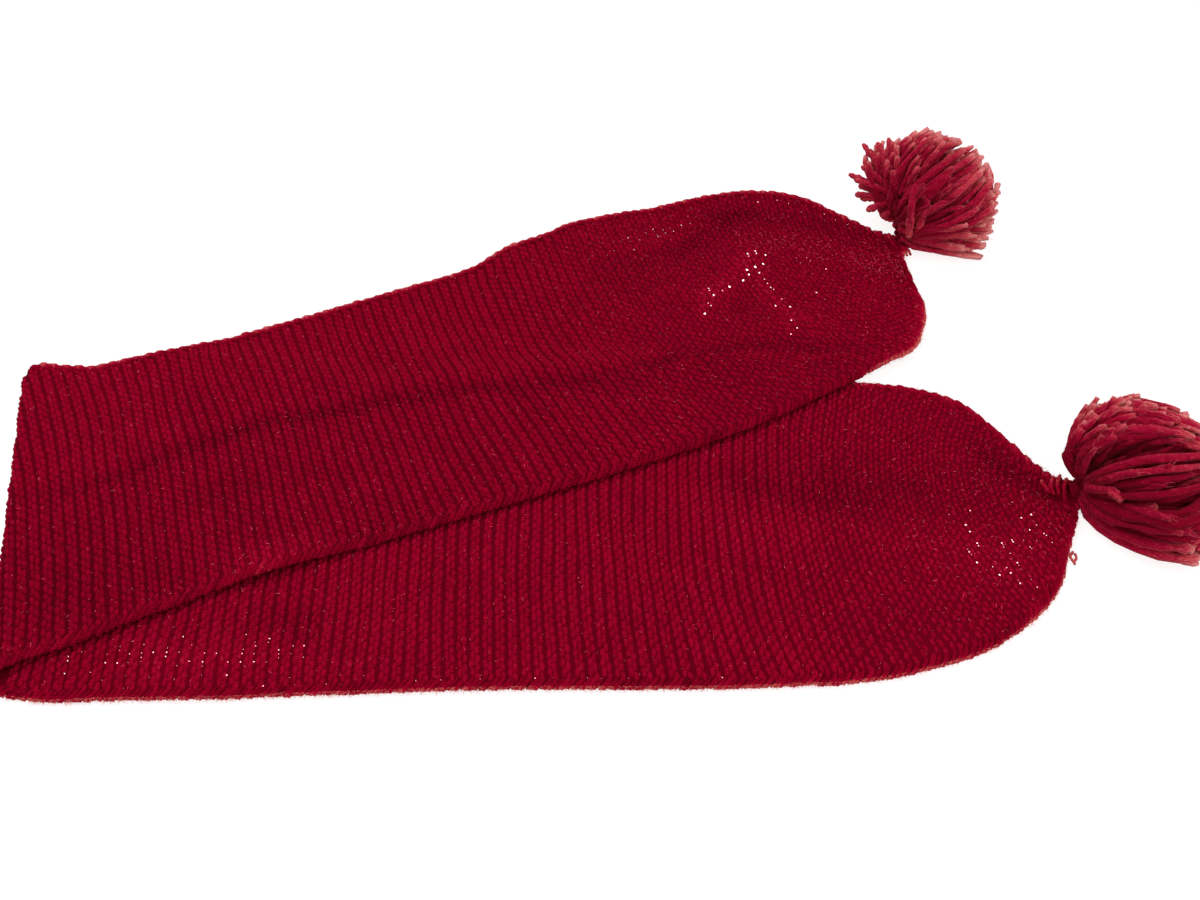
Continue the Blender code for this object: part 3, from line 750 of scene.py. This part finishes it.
def stitches(name, first, last, face):
    """The two staggered rows of arcs that make each garter ridge, on one face of the cloth."""
    dice = np.random.default_rng(SEED + first)
    along_arc, sides = 6, 4
    places = stitch_places(first, last, face)
    run0, place0, side, pitch = places[:, :, None]
    total = len(run0)
    pulled = openness(run0)
    loose = 1 + 1.1 * pulled

    def uneven(amount):
        """A different value for each stitch, larger where the ridges are pulled open."""
        return amount * loose * dice.standard_normal((total, 1))

    t = np.linspace(-1, 1, along_arc)[None, :]
    bow = 1 - t ** 2
    size = 1 + uneven(0.07)
    slant = 0.20 * MM + uneven(0.16 * MM)
    drift = uneven(0.13 * MM)
    lean = uneven(0.16 * MM)
    wander = WANDER * waves(places[0], places[1] * MEAN_WIDTH, 21, 45 * MM, 160 * MM)[:, None]
    base = (0.72 - 0.10 * pulled) * MM
    crest = CREST + (OPEN_CREST - CREST) * pulled
    yarn_size = YARN + (OPEN_YARN - YARN) * pulled
    run = run0 + side * (base + (crest - base) * bow * size) + slant * t + drift + wander
    half = pitch * (0.52 - 0.11 * pulled)
    place = np.clip(place0 + (t * half + lean) / width_at(run), 0.0, 1.0)
    run = np.clip(run, END_MARGIN, TOTAL - END_MARGIN)
    point, normal, _, _, _, thick = on_cloth(run, place)
    normal = normal * face
    radius = yarn_size * (1 + uneven(0.05)) * (0.78 + 0.22 * bow)
    radius = radius * (0.7 + 0.3 * np.clip(pitch / STITCH, 0.7, 1.05))
    low = (-0.30 - 0.40 * pulled) * MM
    height = (thick - CLOTH) / 2 + low + (CLOTH / 2 - yarn_size - low) * np.sqrt(bow * 0.95 + 0.05)
    height = height + uneven(0.10 * MM) * bow
    centre = point + normal * height[..., None]
    held_above(centre, YARN + 0.1 * MM)
    points, faces, uv = sweep(centre, normal, radius, sides, -0.42, math.pi + 0.42)
    ring = sides + 1
    uv[:, 0] += np.repeat(dice.random(total), along_arc * ring)
    # Painted shade: each arc is darker towards its ends, where it dips between its neighbours, and
    # lighter at its crest; the rest of the change is at random.
    shade = 0.06 * dice.standard_normal((total, 1)) + 0.32 * (bow - 0.6)
    shade = shade + shade_of(places[0], places[1])[:, None]
    tone = np.repeat((0.64 + shade).ravel(), ring)
    return build(name, points, faces, KNIT, uv, tone)


UPPER_BACK = 480 * MM      # run at which the back selvedge goes into the turn


def borders_white(run, across):
    """Whether light from the surface reaches this part of the edge."""
    over_arm = (run > 100 * MM) & (run < TURN_END - 46 * MM) & (across == 0.0)
    turned = (run > UPPER_BACK) & (run < TURN_END - 30 * MM) & (across == 1.0)
    return ~over_arm & ~turned


# Front and back selvedge: radii of the larger and the smaller strands, which take turns, how much
# painted light lightens them on the upper and on the lower arm, and from which share of a strand on.
SELVEDGES = ((1.34, 1.16, 0.90, 0.90, 0.50), (1.65, 1.15, 0.80, 0.50, 0.20))


def selvedge(name, across):
    """The chained edge: two strands to a ridge, nearly along the edge, from face to back."""
    dice = np.random.default_rng(SEED + 5 + across)
    larger, smaller, upper_light, lower_light, light_start = SELVEDGES[across]
    steps, sides = 9, 6
    outside = 1 if across else -1
    run0 = np.array([(ridge + share) * PITCH for ridge in range(RIDGES) for share in (0.27, 0.77)])
    count = len(run0)
    run0 = run0[:, None] + 0.3 * MM * dice.standard_normal((count, 1))
    t = np.linspace(0, 1, steps)[None, :]
    inward = np.interp(t, [0, 0.25, 0.5, 0.72, 0.86, 1], [5.2, 3.7, 1.9, 0.6, 0.7, 2.4]) * MM
    inward = inward + 0.15 * MM * dice.standard_normal((count, 1))
    lift = np.interp(t, [0, 0.15, 0.45, 0.72, 0.86, 1], [-0.3, 0.7, 0.85, 0.1, -0.65, -0.9]) * MM
    rolled = np.sin(math.pi * np.clip(t / 0.86, 0, 1)) * (run0 < UPPER_BACK)
    lift = lift + 0.6 * MM * across * rolled
    slide = np.interp(t, [0, 0.45, 0.86, 1], [-2.9, -1.0, 2.3, 2.8]) * MM
    near_knot = ease(np.minimum(run0, TOTAL - run0) / (30 * MM))
    # Past the turn the other face shows, and the strands are laid the other way up.
    over = np.where(middle(run0, np.full_like(run0, across))[1] < math.pi / 2, 1.0, -1.0)
    inward = np.minimum(inward, width_at(run0) * 0.45)
    run = run0 + slide * (0.4 + 0.6 * near_knot) * over
    run = np.clip(run, END_MARGIN, TOTAL - END_MARGIN)
    place = inward / width_at(run)
    place = np.clip(1 - place if across else place, 0, 1)
    point, normal, _, sideways, _, thick = on_cloth(run, place)
    # The normal turns with the strand, so that its round section stays round at the rim.
    turn = np.interp(t, [0, 0.4, 0.75, 1], [0, 0.3, math.pi / 2, math.pi])[..., None]
    aim = normal * (np.cos(turn) * over[..., None]) + sideways * outside * np.sin(turn)
    centre = point + normal * (lift * over * thick / CLOTH)[..., None]
    held_above(centre, 1.1 * MM)
    lump = np.where(np.arange(count) % 2 == 0, larger, smaller)[:, None] * MM
    radius = lump * (1 + 0.08 * dice.standard_normal((count, 1)))
    radius = radius * np.interp(t, [0, 0.2, 0.5, 0.8, 1], [0.6, 0.95, 1.08, 0.95, 0.6])
    points, faces, uv = sweep(centre, aim, radius, sides)
    run0 = run0[:, 0]
    # Painted light: the outer part of each strand is lighter where light from the surface comes
    # through the rim, and only a little elsewhere.
    lit = np.where(run0 < UPPER_BACK, upper_light, lower_light)
    lit = np.where(borders_white(run0, across), lit, 0.12)[:, None]
    shade = shade_of(run0, np.full(count, abs(across - 0.02)))
    tone = 0.50 + shade[:, None] + 0.12 * dice.standard_normal((count, 1))
    tone = np.repeat((tone + lit * ease((t - light_start) / 0.32)).ravel(), sides)
    return build(name, points, faces, KNIT, uv, tone)


def fibres(name, roots, ways, reach, material, dice, radius):
    """Loose fibres: thin curved ribbons, one from each root."""
    total = len(roots)
    t = np.linspace(0, 1, 3)
    reached = (reach * (0.5 + dice.random(total)))[:, None] * t
    curl = 0.9 * dice.standard_normal((total, 3))
    centres = (roots[:, None, :] + ways[:, None, :] * reached[..., None]
               + curl[:, None, :] * (reached * t * 0.35)[..., None])
    held_above(centres, FLOOR_GAP)
    side = normalised(np.cross(ways, dice.standard_normal((total, 3))))
    width = radius * np.array([1.0, 0.8, 0.25])
    edge = side[:, None, :] * width[None, :, None]
    points = np.stack([centres - edge, centres + edge], axis=2).reshape(-1, 3)
    each = len(points) // total
    faces = quads(np.arange(len(points)).reshape(total, len(t), 2))
    tone = np.repeat(0.75 + 0.25 * dice.random(total), each)
    return build(name, points, faces, material, np.zeros((len(points), 2)), tone)


# Where the fuzz stands up and catches the light, in millimetres.
FUZZY = ((102, 127), (120, 122), (144, 113), (165, 101))


def cloth_fibres():
    """Loose fibres that lie on the faces that show."""
    dice = np.random.default_rng(SEED + 90)
    count = CLOTH_FIBRES
    run = dice.random(count) * (TOTAL - 20 * MM) + 10 * MM
    place = 0.02 + 0.96 * dice.random(count)
    point, normal, along, sideways, angle, _ = on_cloth(run, place)
    plan = point[:, :2] - SHIFT
    face = np.where(angle < 2.6, 1.0, -1.0)
    # More fibres along the fuzzy line: real fuzz, with the fibres' light colour as painted light.
    light_catching_fuzz = np.exp(-(line_distance(plan, FUZZY) / (8 * MM)) ** 2) * (plan[:, 0] > 85 * MM)
    edge = np.exp(-(under_upper(plan) / (12 * MM)) ** 2) * (face > 0)
    # The share of the fibres that is kept at a place.
    chance = 0.09 + light_catching_fuzz + 0.22 * edge + 0.10 * openness(run)
    keep = ((face > 0) | (under_upper(plan) < -2 * MM)) & (dice.random(count) < chance)
    turn = dice.random(count) * 2 * math.pi
    way = (along * np.cos(turn)[:, None] + sideways * np.sin(turn)[:, None]
           + normal * (face * (0.25 + 0.35 * dice.random(count)))[:, None])
    root = point + normal * (face * 1.95 * MM)[:, None]
    return fibres("cloth_fibres", root[keep], way[keep], 0.9 * MM, FIBRE, dice,
                  0.11 * MM)


def edge_fibres():
    """The fuzz that stands out from both selvedges, where the surface shows beside them."""
    dice = np.random.default_rng(SEED + 91)
    roots, ways = [], []
    for across in (0.0, 1.0):
        run = dice.random(EDGE_FIBRES) * (TOTAL - 4 * MM) + 2 * MM
        run = run[borders_white(run, across)]
        point, normal, along, sideways, _, _ = on_cloth(run, np.full(len(run), across))
        outward = sideways * (1 if across else -1)
        level = dice.random(len(run)) * 2 - 1
        root = point + normal * (1.5 * MM * level)[:, None] - outward * 0.6 * MM
        way = (outward + 1.1 * dice.standard_normal(len(run))[:, None] * along
               + 0.6 * level[:, None] * normal)
        roots.append(root)
        ways.append(normalised(way))
    # The rim fibres' salmon colour is painted light coming through the fuzz.
    return fibres("edge_fibres", np.concatenate(roots), np.concatenate(ways), 1.5 * MM,
                  RIM_FIBRE, dice, 0.07 * MM)


# Painted light where light comes through between stitches: points, number of gaps, how far they
# stray from the line and the widest one, in millimetres.
GAPS = (
    (((60, 57), (70, 74), (86, 92), (95, 114)), 17, 2.4, 0.85),
    (((96, 116), (98, 96), (101, 76), (108, 60), (118, 42)), 14, 1.6, 0.75),
    (((118, 112), (128, 104), (136, 66)), 7, 3.0, 0.4),
    (((6, 112), (28, 124), (40, 133), (56, 141)), 24, 3.5, 0.36),
    (((98, 166), (122, 162), (146, 148), (160, 138)), 8, 1.2, 0.4),
    (((168, -90), (176, -104), (190, -114), (200, -122)), 20, 5.0, 0.42),
    (((212, -84), (212, -98), (205, -110), (188, -108), (190, -130)), 22, 4.5, 0.42),
    (((-222, -168), (-190, -163), (-160, -164), (-128, -160)), 64, 4.8, 0.30),
    (((-200, -178), (-90, -176), (60, -180)), 16, 3.0, 0.29),
)


def gap_lights():
    """Small glowing discs between stitches: painted light for the lit surface showing through gaps.
    """
    dice = np.random.default_rng(SEED + 92)
    grid_run, grid_place = np.meshgrid(np.arange(0, TOTAL, PITCH), np.linspace(0.02, 0.98, 90),
                                       indexing="ij")
    run, place = grid_run.ravel(), grid_place.ravel()
    point, normal, along, sideways, angle, _ = on_cloth(run, place)
    plan = point[:, :2] - SHIFT
    shows = (angle < 1.0) | ((angle > UNDERSIDE) & (under_upper(plan) < -3 * MM))
    corners = 6
    points, faces, tones = [], [], []
    for line, count, spread, widest in GAPS:
        line = np.array(line, float)
        for k in range(count):
            at = (k + dice.random()) / count * (len(line) - 1)
            spot = [np.interp(at, np.arange(len(line)), line[:, i]) for i in (0, 1)]
            spot = (np.array(spot) + spread * dice.standard_normal(2)) * MM
            i = int(np.argmin(np.hypot(*(plan - spot).T) + np.where(shows, 0, 1)))
            face = 1.0 if angle[i] < 1.0 else -1.0
            size = widest * MM * (0.45 + 0.75 * dice.random() ** 2)
            centre = point[i] + normal[i] * face * 2.5 * MM
            centre = centre + along[i] * MM * 0.9 * (dice.random() - 0.5)
            tones += [min(2.0, 2.4 * size / MM)] * corners
            first = len(points)
            for corner in range(corners):
                turn = corner * 2 * math.pi / corners
                reach = size * (0.6 + 0.7 * dice.random())
                points.append(centre + along[i] * math.cos(turn) * reach * 0.8
                              + sideways[i] * math.sin(turn) * reach)
            faces += [(first, first + 1, first + 2, first + 3),
                      (first, first + 3, first + 4, first + 5)]
    return build("gap_lights", points, faces, GLOW, np.zeros((len(points), 2)),
                 tones)


# ---------------- pompoms

CORE_SIZE = np.array([27.3, 27.3, 23.4]) * MM
TOWARDS_EYE = np.array([-0.2, -0.75, 0.6]) / 0.98
YARN_UP = np.array([0.13, 0.21, 0.97])     # from here the rings round the yarn are laid out
FARTHEST = math.radians(105)               # largest angle from the far pole where yarn ends
GOLDEN_TURN = math.pi * (1 + math.sqrt(5))


def ball_directions(count, dice):
    """Directions spread evenly over a ball, each a little out of place."""
    i = np.arange(count) + 0.5
    z = 1 - 2 * i / count
    turn = GOLDEN_TURN * i
    flat = np.sqrt(1 - z * z)
    made = np.stack([flat * np.cos(turn), flat * np.sin(turn), z], axis=-1)
    return normalised(made + 0.09 * dice.standard_normal(made.shape))


def pompom_core(centre, neck, axis, dice):
    """A rough ball that fills the middle, so that nothing shows between the ends."""
    ways = ball_directions(220, dice)
    ways = ways[ways @ axis > -0.7]
    ring = np.linspace(0, 1, 4)[None, :, None]
    plugs = neck + (centre - neck + ways * CORE_SIZE)[:, None] * ring
    held_above(plugs, 4.5 * MM)
    radii = np.tile(np.array([1.5, 3.0, 4.2, 0.4]) * MM, (len(ways), 1))
    return sweep(plugs, np.tile(YARN_UP, (len(ways), 4, 1)), radii, 6)


def pompom_fuzz(name, centres, radii, dice):
    """Fibres that stand off the outer part of the yarn."""
    which = dice.integers(0, len(centres), POMPOM_FIBRES)
    spot = dice.integers(3, centres.shape[1] - 1, POMPOM_FIBRES)
    side = normalised(dice.standard_normal((POMPOM_FIBRES, 3)))
    along = normalised(centres[which, spot] - centres[which, spot - 1])
    roots = centres[which, spot] + side * radii[which, spot][:, None] * 0.92
    return fibres(name, roots, normalised(along + side * 0.55), 2.0 * MM, POMPOM_FIBRE,
                  dice, 0.065 * MM)


def roughened(points, centres, sides, amount, dice):
    """The rings of points round a yarn's centres, each point a little nearer or farther."""
    middles = np.repeat(centres, sides, axis=0)
    return middles + (points - middles) * (1 + amount * dice.standard_normal((len(points), 1)))


def pompom(name, centre, neck, outer, count, thick, seed, lit_side, combed, ends, tips, droop,
           tuck, base, wide_span):
    """Cut yarn ends that leave the tie, spread out and run on over the ball to where they end.

    The ones on the outside follow the ball all the way; the others take a shorter way inside it.
    outer is half the ball's size, count and thick the number and radius of the ends and lit_side
    the side that light from the surface reaches. combed is how closely the outer ones keep to
    the ball, ends the share that end on top, tips how much painted light lightens their ends,
    droop how far the far side hangs, tuck how far the lit side keeps away from the neck, base the
    usual tone and wide_span how uneven the ends at the sides are.
    """
    outer, lit_side = np.array(outer) * MM, np.array(lit_side)
    dice = np.random.default_rng(seed)
    sides = 7
    axis = (centre - neck) / np.linalg.norm(centre - neck)
    side_a = normalised(np.cross(axis, [0, 0, 1.0]))
    side_b = np.cross(side_a, axis)

    def on_ball(angle, turn):
        """From the middle to the ball's surface, at an angle from the far pole."""
        way = (np.cos(angle)[..., None] * axis + (np.sin(angle) * np.cos(turn))[..., None] * side_a
               + (np.sin(angle) * np.sin(turn))[..., None] * side_b)
        # Below its middle the ball keeps its width, since its ends lie out on the surface.
        level = np.hypot(way[..., 0], way[..., 1]) + 1e-6
        wider = ease((way @ lit_side) * 1.5 + 0.3) * (way[..., 2] < 0)
        spread = 1 + (np.minimum(1 / level, 1.35) - 1) * wider
        made = way * np.stack([spread, spread, np.ones_like(spread)], axis=-1) * outer
        made[..., 2] -= droop * MM * ease(way @ axis)
        held = ease(way @ lit_side) * ease(0.5 - 0.9 * (way @ axis))
        made += (tuck * MM * held)[..., None] * axis
        return made, way

    share = (np.arange(count) + 0.5) / count
    finish = np.arccos(1 - (1 - math.cos(FARTHEST)) * share ** 1.1)
    turn = GOLDEN_TURN * np.arange(count) + 0.2 * dice.standard_normal(count)
    finish = np.clip(finish + 0.08 * dice.standard_normal(count), 0.03, 2.2)
    # On top the yarn is smoothed on from the neck, and few ends lie there.
    on_top = on_ball(finish, turn)[1] @ TOWARDS_EYE
    keep = (on_top < 0.5) | (dice.random(count) < ends)
    finish, turn = finish[keep], turn[keep]
    count = len(finish)
    outside = dice.random(count) < 0.40
    stray = np.where(outside, combed * (0.85 + 0.2 * dice.random(count)),
                     0.15 + 0.5 * dice.random(count))
    # The ends that stand out to the sides are straighter and less even.
    wide = finish > 1.35
    stray = np.where(wide, stray * combed ** 3, stray)
    uneven = np.clip(dice.standard_normal(count), -2, 1.2)
    span = 1 + np.where(wide, wide_span, 0.045) * uneven
    span = np.where(dice.random(count) < 0.3, span * (0.80 + 0.12 * dice.random(count)), span)

    t = np.array([0, 0.08, 0.17, 0.27, 0.38, 0.49, 0.60, 0.71, 0.81, 0.90, 0.96, 1.0, 1.0])
    steps = len(t)
    u = t[None, :]
    angle = math.pi - (math.pi - finish[:, None]) * u
    near = np.linalg.norm(neck - centre) / np.linalg.norm(on_ball(np.array(math.pi), 0)[0])
    rise = np.interp(u, [0, 0.15, 0.35, 0.6, 0.85, 1], [near, 0.66, 0.77, 0.87, 0.94, 1.02])
    # On the lit side the yarn swells out at once, and makes a lobe beside the neck.
    full = np.interp(u, [0, 0.12, 0.3, 0.6, 0.85, 1], [near, 0.70, 0.86, 0.95, 0.98, 1.02])
    around = np.cos(turn)[:, None] * side_a + np.sin(turn)[:, None] * side_b
    rise = rise + (full - rise) * ease(1.3 * (around @ lit_side))[:, None]
    sway = 0.10 * dice.standard_normal((count, 1)) * u ** 2
    vector, way = on_ball(angle, turn[:, None] + sway)
    over = centre + vector * (rise * span[:, None])[..., None]
    straight = over[:, :1] + (over[:, -1:] - over[:, :1]) * u[..., None]
    centres = straight + (over - straight) * stray[:, None, None]
    wave = 0.7 * MM * np.sin(u * (4 + 5 * dice.random((count, 1))) + 6 * dice.random((count, 1)))
    centres = centres + wave[..., None] * dice.standard_normal((count, 1, 3)) * u[..., None]
    centres += 2.2 * MM * (way - (way @ axis)[..., None] * axis) * (1 - u)[..., None] ** 2
    held_above(centres, (2.0 + 2.5 * dice.random((count, 1))) * MM)
    centres[:, -1] += (centres[:, -1] - centres[:, -3]) * 0.12

    width = thick * MM * (1 + 0.14 * dice.standard_normal((count, 1)))
    blunt = 0.40 + 0.36 * dice.random((count, 1))
    profile = np.interp(u, [0, 0.25, 0.62, 0.92, 1.0], [0.55, 0.95, 1.05, 0.88, 0.0])
    profile = profile + blunt * np.interp(u, [0, 0.92, 1.0], [0, 0, 1])
    profile[:, -1] = 0.06
    radii = width * profile * (1 + 0.11 * dice.standard_normal((count, steps)))
    points, faces, uv = sweep(centres, np.tile(YARN_UP, (count, steps, 1)), radii, sides)
    points = roughened(points, centres.reshape(-1, 3), sides, 0.13, dice)
    held_above(points, 0.1 * MM)
    uv[:, 0] += np.repeat(dice.random(count) * 7, steps * sides)

    # Painted light: light comes through the ends that stand out low and away from the neck, less in
    # those that point towards the eye.
    last = way[:, -1]
    seen_on = tips * (1 - 0.85 * np.clip(last @ TOWARDS_EYE, 0, 1))[:, None]
    shade = np.interp(u, [0, 0.3, 0.7, 1], [0.0, 0.04, 0.0, 0.0])
    shade = shade + seen_on * np.interp(u, [0.6, 0.9, 1], [0, 0.35, 1])
    lit = ease((0.45 - last[:, 2]) / 1.1) * ease((last @ lit_side + 0.3) / 1.1)
    shade = shade + 0.5 * lit[:, None] * u
    tone = np.repeat((base + shade + 0.12 * dice.standard_normal((count, 1))).ravel(), sides)
    core = pompom_core(centre, neck, axis, dice)
    # The core gets a tone below the yarn's: painted shade deep between the ends.
    tone = np.concatenate([tone, np.full(len(core[0]), 0.42)])
    points, faces, uv = join((points, faces, uv), core)
    ball = build(name, points, faces, POMPOM, uv, tone)
    pompom_fuzz(name + "_fuzz", centres, radii, dice)
    return ball


def loose_yarn(name, paths, radius, tone, material, taper=0.9):
    """Lengths of yarn along points in the drafting frame, in millimetres."""
    dice = np.random.default_rng(SEED + len(paths))
    sides = 8
    lengths, tones = [], []
    for path in paths:
        path = np.array(path, float) * MM + np.array([*SHIFT, 0])
        at = np.linspace(0, len(path) - 1, 6 * len(path))
        line = np.stack([np.interp(at, np.arange(len(path)), path[:, i]) for i in range(3)], -1)
        for _ in range(3):
            line[1:-1] = (line[:-2] + 2 * line[1:-1] + line[2:]) / 4
        u = np.linspace(0, 1, len(line))
        radii = np.full((1, len(line)), radius)
        radii[0, 0], radii[0, -1] = radius * 0.6, radius * 0.5
        radii *= 1 + 0.10 * dice.standard_normal(radii.shape)
        radii *= np.interp(u, [0, 0.6, 1], [1, 1, taper])
        up = np.tile(np.array([0.1, 0.2, 0.97]), (1, len(line), 1))
        points, faces, uv = sweep(line[None], up, radii, sides)
        lengths.append((roughened(points, line, sides, 0.12, dice), faces, uv))
        # Each length is painted lighter towards its free end: painted light coming through the thin
        # yarn.
        tones.append(np.repeat(tone + 0.40 * u ** 2, sides))
    points, faces, uv = join(*lengths)
    return build(name, points, faces, material, uv, np.concatenate(tones))


def collar(name, start, end, radius):
    """The bound neck: yarn wound round and round between the cloth and the pompom."""
    wraps = 5
    axis = (end - start) / np.linalg.norm(end - start)
    side = normalised(np.cross(axis, [0.1, 0.2, 1.0]))
    other = np.cross(axis, side)
    turn = np.linspace(0, wraps * 2 * math.pi, wraps * 14)
    share = turn / turn[-1]
    bulge = radius * (0.92 + 0.16 * np.sin(share * math.pi))
    aim = np.cos(turn)[:, None] * side + np.sin(turn)[:, None] * other
    path = start + share[:, None] * (end - start) + bulge[:, None] * aim
    wound = sweep(path[None], aim[None], np.full((1, len(path)), 1.25 * MM), 7)
    inner = np.stack([start - axis * 2 * MM, (start + end) / 2, end + axis * 3 * MM])[None]
    core = sweep(inner, np.tile(side, (1, 3, 1)), np.full((1, 3), radius * 0.9), 12)
    points, faces, uv = join(wound, core)
    # The neck's yarn gets a low tone: painted shade under the ball.
    return build(name, points, faces, POMPOM, uv, np.full(len(points), 0.2))


# ---------------- assembly

def at_knot(run):
    return middle(np.array([run]), np.array([0.5]))[0][0]


def beside(point, *offset):
    """A point at an offset in millimetres."""
    return point + np.array(offset) * MM


cloth = ground()
pieces = [
    stitches("upper_stitches_a", 0, 42, 1),
    stitches("upper_stitches_b", 42, 80, 1),
    stitches("turn_stitches", 80, TURN_RIDGES, 1),
    stitches("lower_stitches_a", 88, TURN_RIDGES + 40, -1),
    stitches("lower_stitches_b", TURN_RIDGES + 40, RIDGES, -1),
    selvedge("front_selvedge", 0),
    selvedge("back_selvedge", 1),
    cloth_fibres(),
    edge_fibres(),
    gap_lights(),
]

upper_knot, lower_knot = at_knot(0.0), at_knot(TOTAL)
upper_head = beside(upper_knot, 12.5, 20, 18)
lower_head = beside(lower_knot, 26, -1.5, 18)
upper_neck = beside(upper_knot, 1, 13, 11)
lower_neck = lower_knot + 0.20 * (lower_head - lower_knot)
upper_ball = pompom(
    "upper_pompom_yarn", upper_head, upper_neck, outer=(40, 41, 35), count=720, thick=1.85,
    seed=31, lit_side=(0.6, -0.8, 0), combed=0.8, ends=0.22, tips=1.15, droop=0, tuck=6,
    base=0.60, wide_span=0.08)
lower_ball = pompom(
    "lower_pompom_yarn", lower_head, lower_neck, outer=(40, 40, 29.5), count=760, thick=2.0,
    seed=32, lit_side=(-0.2, -0.98, 0), combed=1.0, ends=0.12, tips=0.95, droop=6, tuck=15,
    base=0.46, wide_span=0.05)
upper_collar = collar("upper_collar", beside(upper_knot, 0.5, 0.5, 1.6),
                      beside(upper_neck, 1, 1.5, 1.5), 5.0 * MM)
lower_collar = collar("lower_collar", beside(lower_knot, -1.5, 0, 1.6),
                      lower_knot + 0.32 * (lower_head - lower_knot), 5.2 * MM)


# Yarn that hangs over the necks, and the frayed ends and the tail at the knots.
HANGING = (
    ((185.4, 124, 45), (182.4, 114.8, 38), (183.5, 112.1, 27), (185.4, 114.9, 15)),
    ((192.8, 123.7, 44), (191.3, 117.3, 38), (190.4, 114.6, 27), (189.6, 115.9, 15)),
    ((234.2, -80.7, 18), (239.6, -90, 28), (244, -96.3, 28)),
    ((234.7, -78.8, 18), (243.6, -82.5, 31), (256.6, -87.7, 37)),
)
KNOT_ENDS = (
    ((223.6, -75.5, 7), (221.6, -72.3, 10), (225, -65.5, 9.5)),
    ((226, -75.5, 7), (224.6, -72.6, 11), (228.4, -65, 10)),
    ((228.4, -75.5, 7), (228.4, -72.3, 10), (231.7, -66.4, 9)),
    ((221.5, -75.1, 8), (219.5, -72.1, 9), (219, -67.3, 8.5)),
    ((183.8, 122, 4.5), (185.1, 116.3, 4.5), (186.6, 112.1, 3.2)),
    ((186, 122, 4.5), (187.4, 117, 4.2), (188.8, 113.0, 3.0)),
)

# Ends that stand out from the upper pompom on the side of the cloth: where they all start, and
# the bend and the tip of each.
SPIKE_ROOT = (182.9, 137.6, 27)
SPIKES = (
    ((172, 151.7, 36), (161.1, 165.9, 45)), ((173.6, 149.4, 35.5), (164.4, 161.4, 44)),
    ((175.3, 148.8, 38.5), (167.8, 160, 50)), ((168, 145.6, 29.5), (153.1, 153.7, 32)),
    ((168.8, 141.7, 30.5), (154.7, 145.7, 34)), ((171.2, 145.5, 32.5), (159.5, 153.3, 38)),
    ((169.8, 141, 25.5), (156.7, 144.4, 24)), ((171.5, 140.4, 24.5), (160, 143.3, 22)),
    ((173.1, 137.3, 22.5), (163.2, 136.9, 18)), ((170.8, 142.7, 27.5), (158.7, 147.9, 28)),
    ((178.1, 135.9, 20.5), (173.2, 134, 14)), ((178.6, 149.7, 39.5), (174.4, 161.6, 52)),
)
YARN_TAIL = (
    ((226.2, -105.8, 2), (223.4, -109.2, 2.5), (225.1, -111.6, 1.5), (225.3, -113.1, 1.2)),
    ((226.5, -107, 2), (226.5, -110, 2.6), (224.6, -112.2, 1.5)),
)


loose_yarn("hanging_yarn", HANGING, 2.1 * MM, 0.66, POMPOM)
loose_yarn("knot_ends", KNOT_ENDS, 0.95 * MM, 1.0, KNIT)
loose_yarn("pompom_spikes", [(SPIKE_ROOT, bend, tip) for bend, tip in SPIKES], 2.15 * MM, 0.62,
           POMPOM, 0.80)
loose_yarn("yarn_tail", YARN_TAIL, 0.65 * MM, 1.5, KNIT)

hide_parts("upper_stretch", "fold_turn", "lower_stretch")
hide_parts("upper_pompom")
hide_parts("lower_pompom")
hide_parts("upper_tie")
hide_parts("lower_tie")

# ---------------- floor, light and camera

WHITE = (1, 1, 1)
FLOOR_HALF = 40.0
FLOOR_GREY = (0.22, 0.22, 0.22)
FLOOR_GLOW = 0.86          # the photo's surface is lit from beneath
FLOOR_LEVEL = -0.2 * MM
WORLD_LIGHT = 0.48
# Name, place, size and power of each light. Both aim at the part's origin.
LIGHTS = (("key", (-0.6, 0.3, 1.35), 1.1, 10), ("fill", (0.8, -0.6, 1.1), 1.2, 6.8))
EYE = np.array([0.004, -0.437, 0.441])     # in the drafting frame
EYE_DOWN = 48              # degrees below the horizon
LENS, SENSOR = 35.01, 36.0


def floor():
    half = FLOOR_HALF
    mesh = bpy.data.meshes.new("floor")
    mesh.from_pydata([(-half, -half, 0), (half, -half, 0), (half, half, 0), (-half, half, 0)],
                     [], [(0, 1, 2, 3)])
    material, _, _ = principled("floor_white", Base_Color=(*FLOOR_GREY, 1), Roughness=0.8,
                                Emission_Color=(*WHITE, 1), Emission_Strength=FLOOR_GLOW)
    mesh.materials.append(material)
    item = bpy.data.objects.new("floor", mesh)
    item.location.z = FLOOR_LEVEL
    bpy.context.scene.collection.objects.link(item)


def area_light(name, place, size, power):
    light = bpy.data.lights.new(name, "AREA")
    light.shape = "RECTANGLE"
    light.size = light.size_y = size
    light.energy = power
    item = bpy.data.objects.new(name, light)
    item.location = place
    item.rotation_mode = "QUATERNION"
    item.rotation_quaternion = (-Vector(place)).to_track_quat("-Z", "Y")
    bpy.context.scene.collection.objects.link(item)


def surroundings():
    world = bpy.data.worlds.new("studio")
    world.use_nodes = True
    background = world.node_tree.nodes["Background"]
    background.inputs[0].default_value = (*WHITE, 1)
    background.inputs[1].default_value = WORLD_LIGHT
    bpy.context.scene.world = world
    bpy.context.scene.view_settings.view_transform = "Standard"


def camera():
    lens = bpy.data.cameras.new("camera")
    lens.lens, lens.sensor_width = LENS, SENSOR
    lens.clip_start, lens.clip_end = 0.01, 50
    eye = bpy.data.objects.new("camera", lens)
    eye.location = EYE + np.array([*SHIFT, 0])
    eye.rotation_euler = (math.radians(90 - EYE_DOWN), 0, 0)
    bpy.context.scene.collection.objects.link(eye)
    bpy.context.scene.camera = eye


floor()
for light in LIGHTS:
    area_light(*light)
surroundings()
camera()
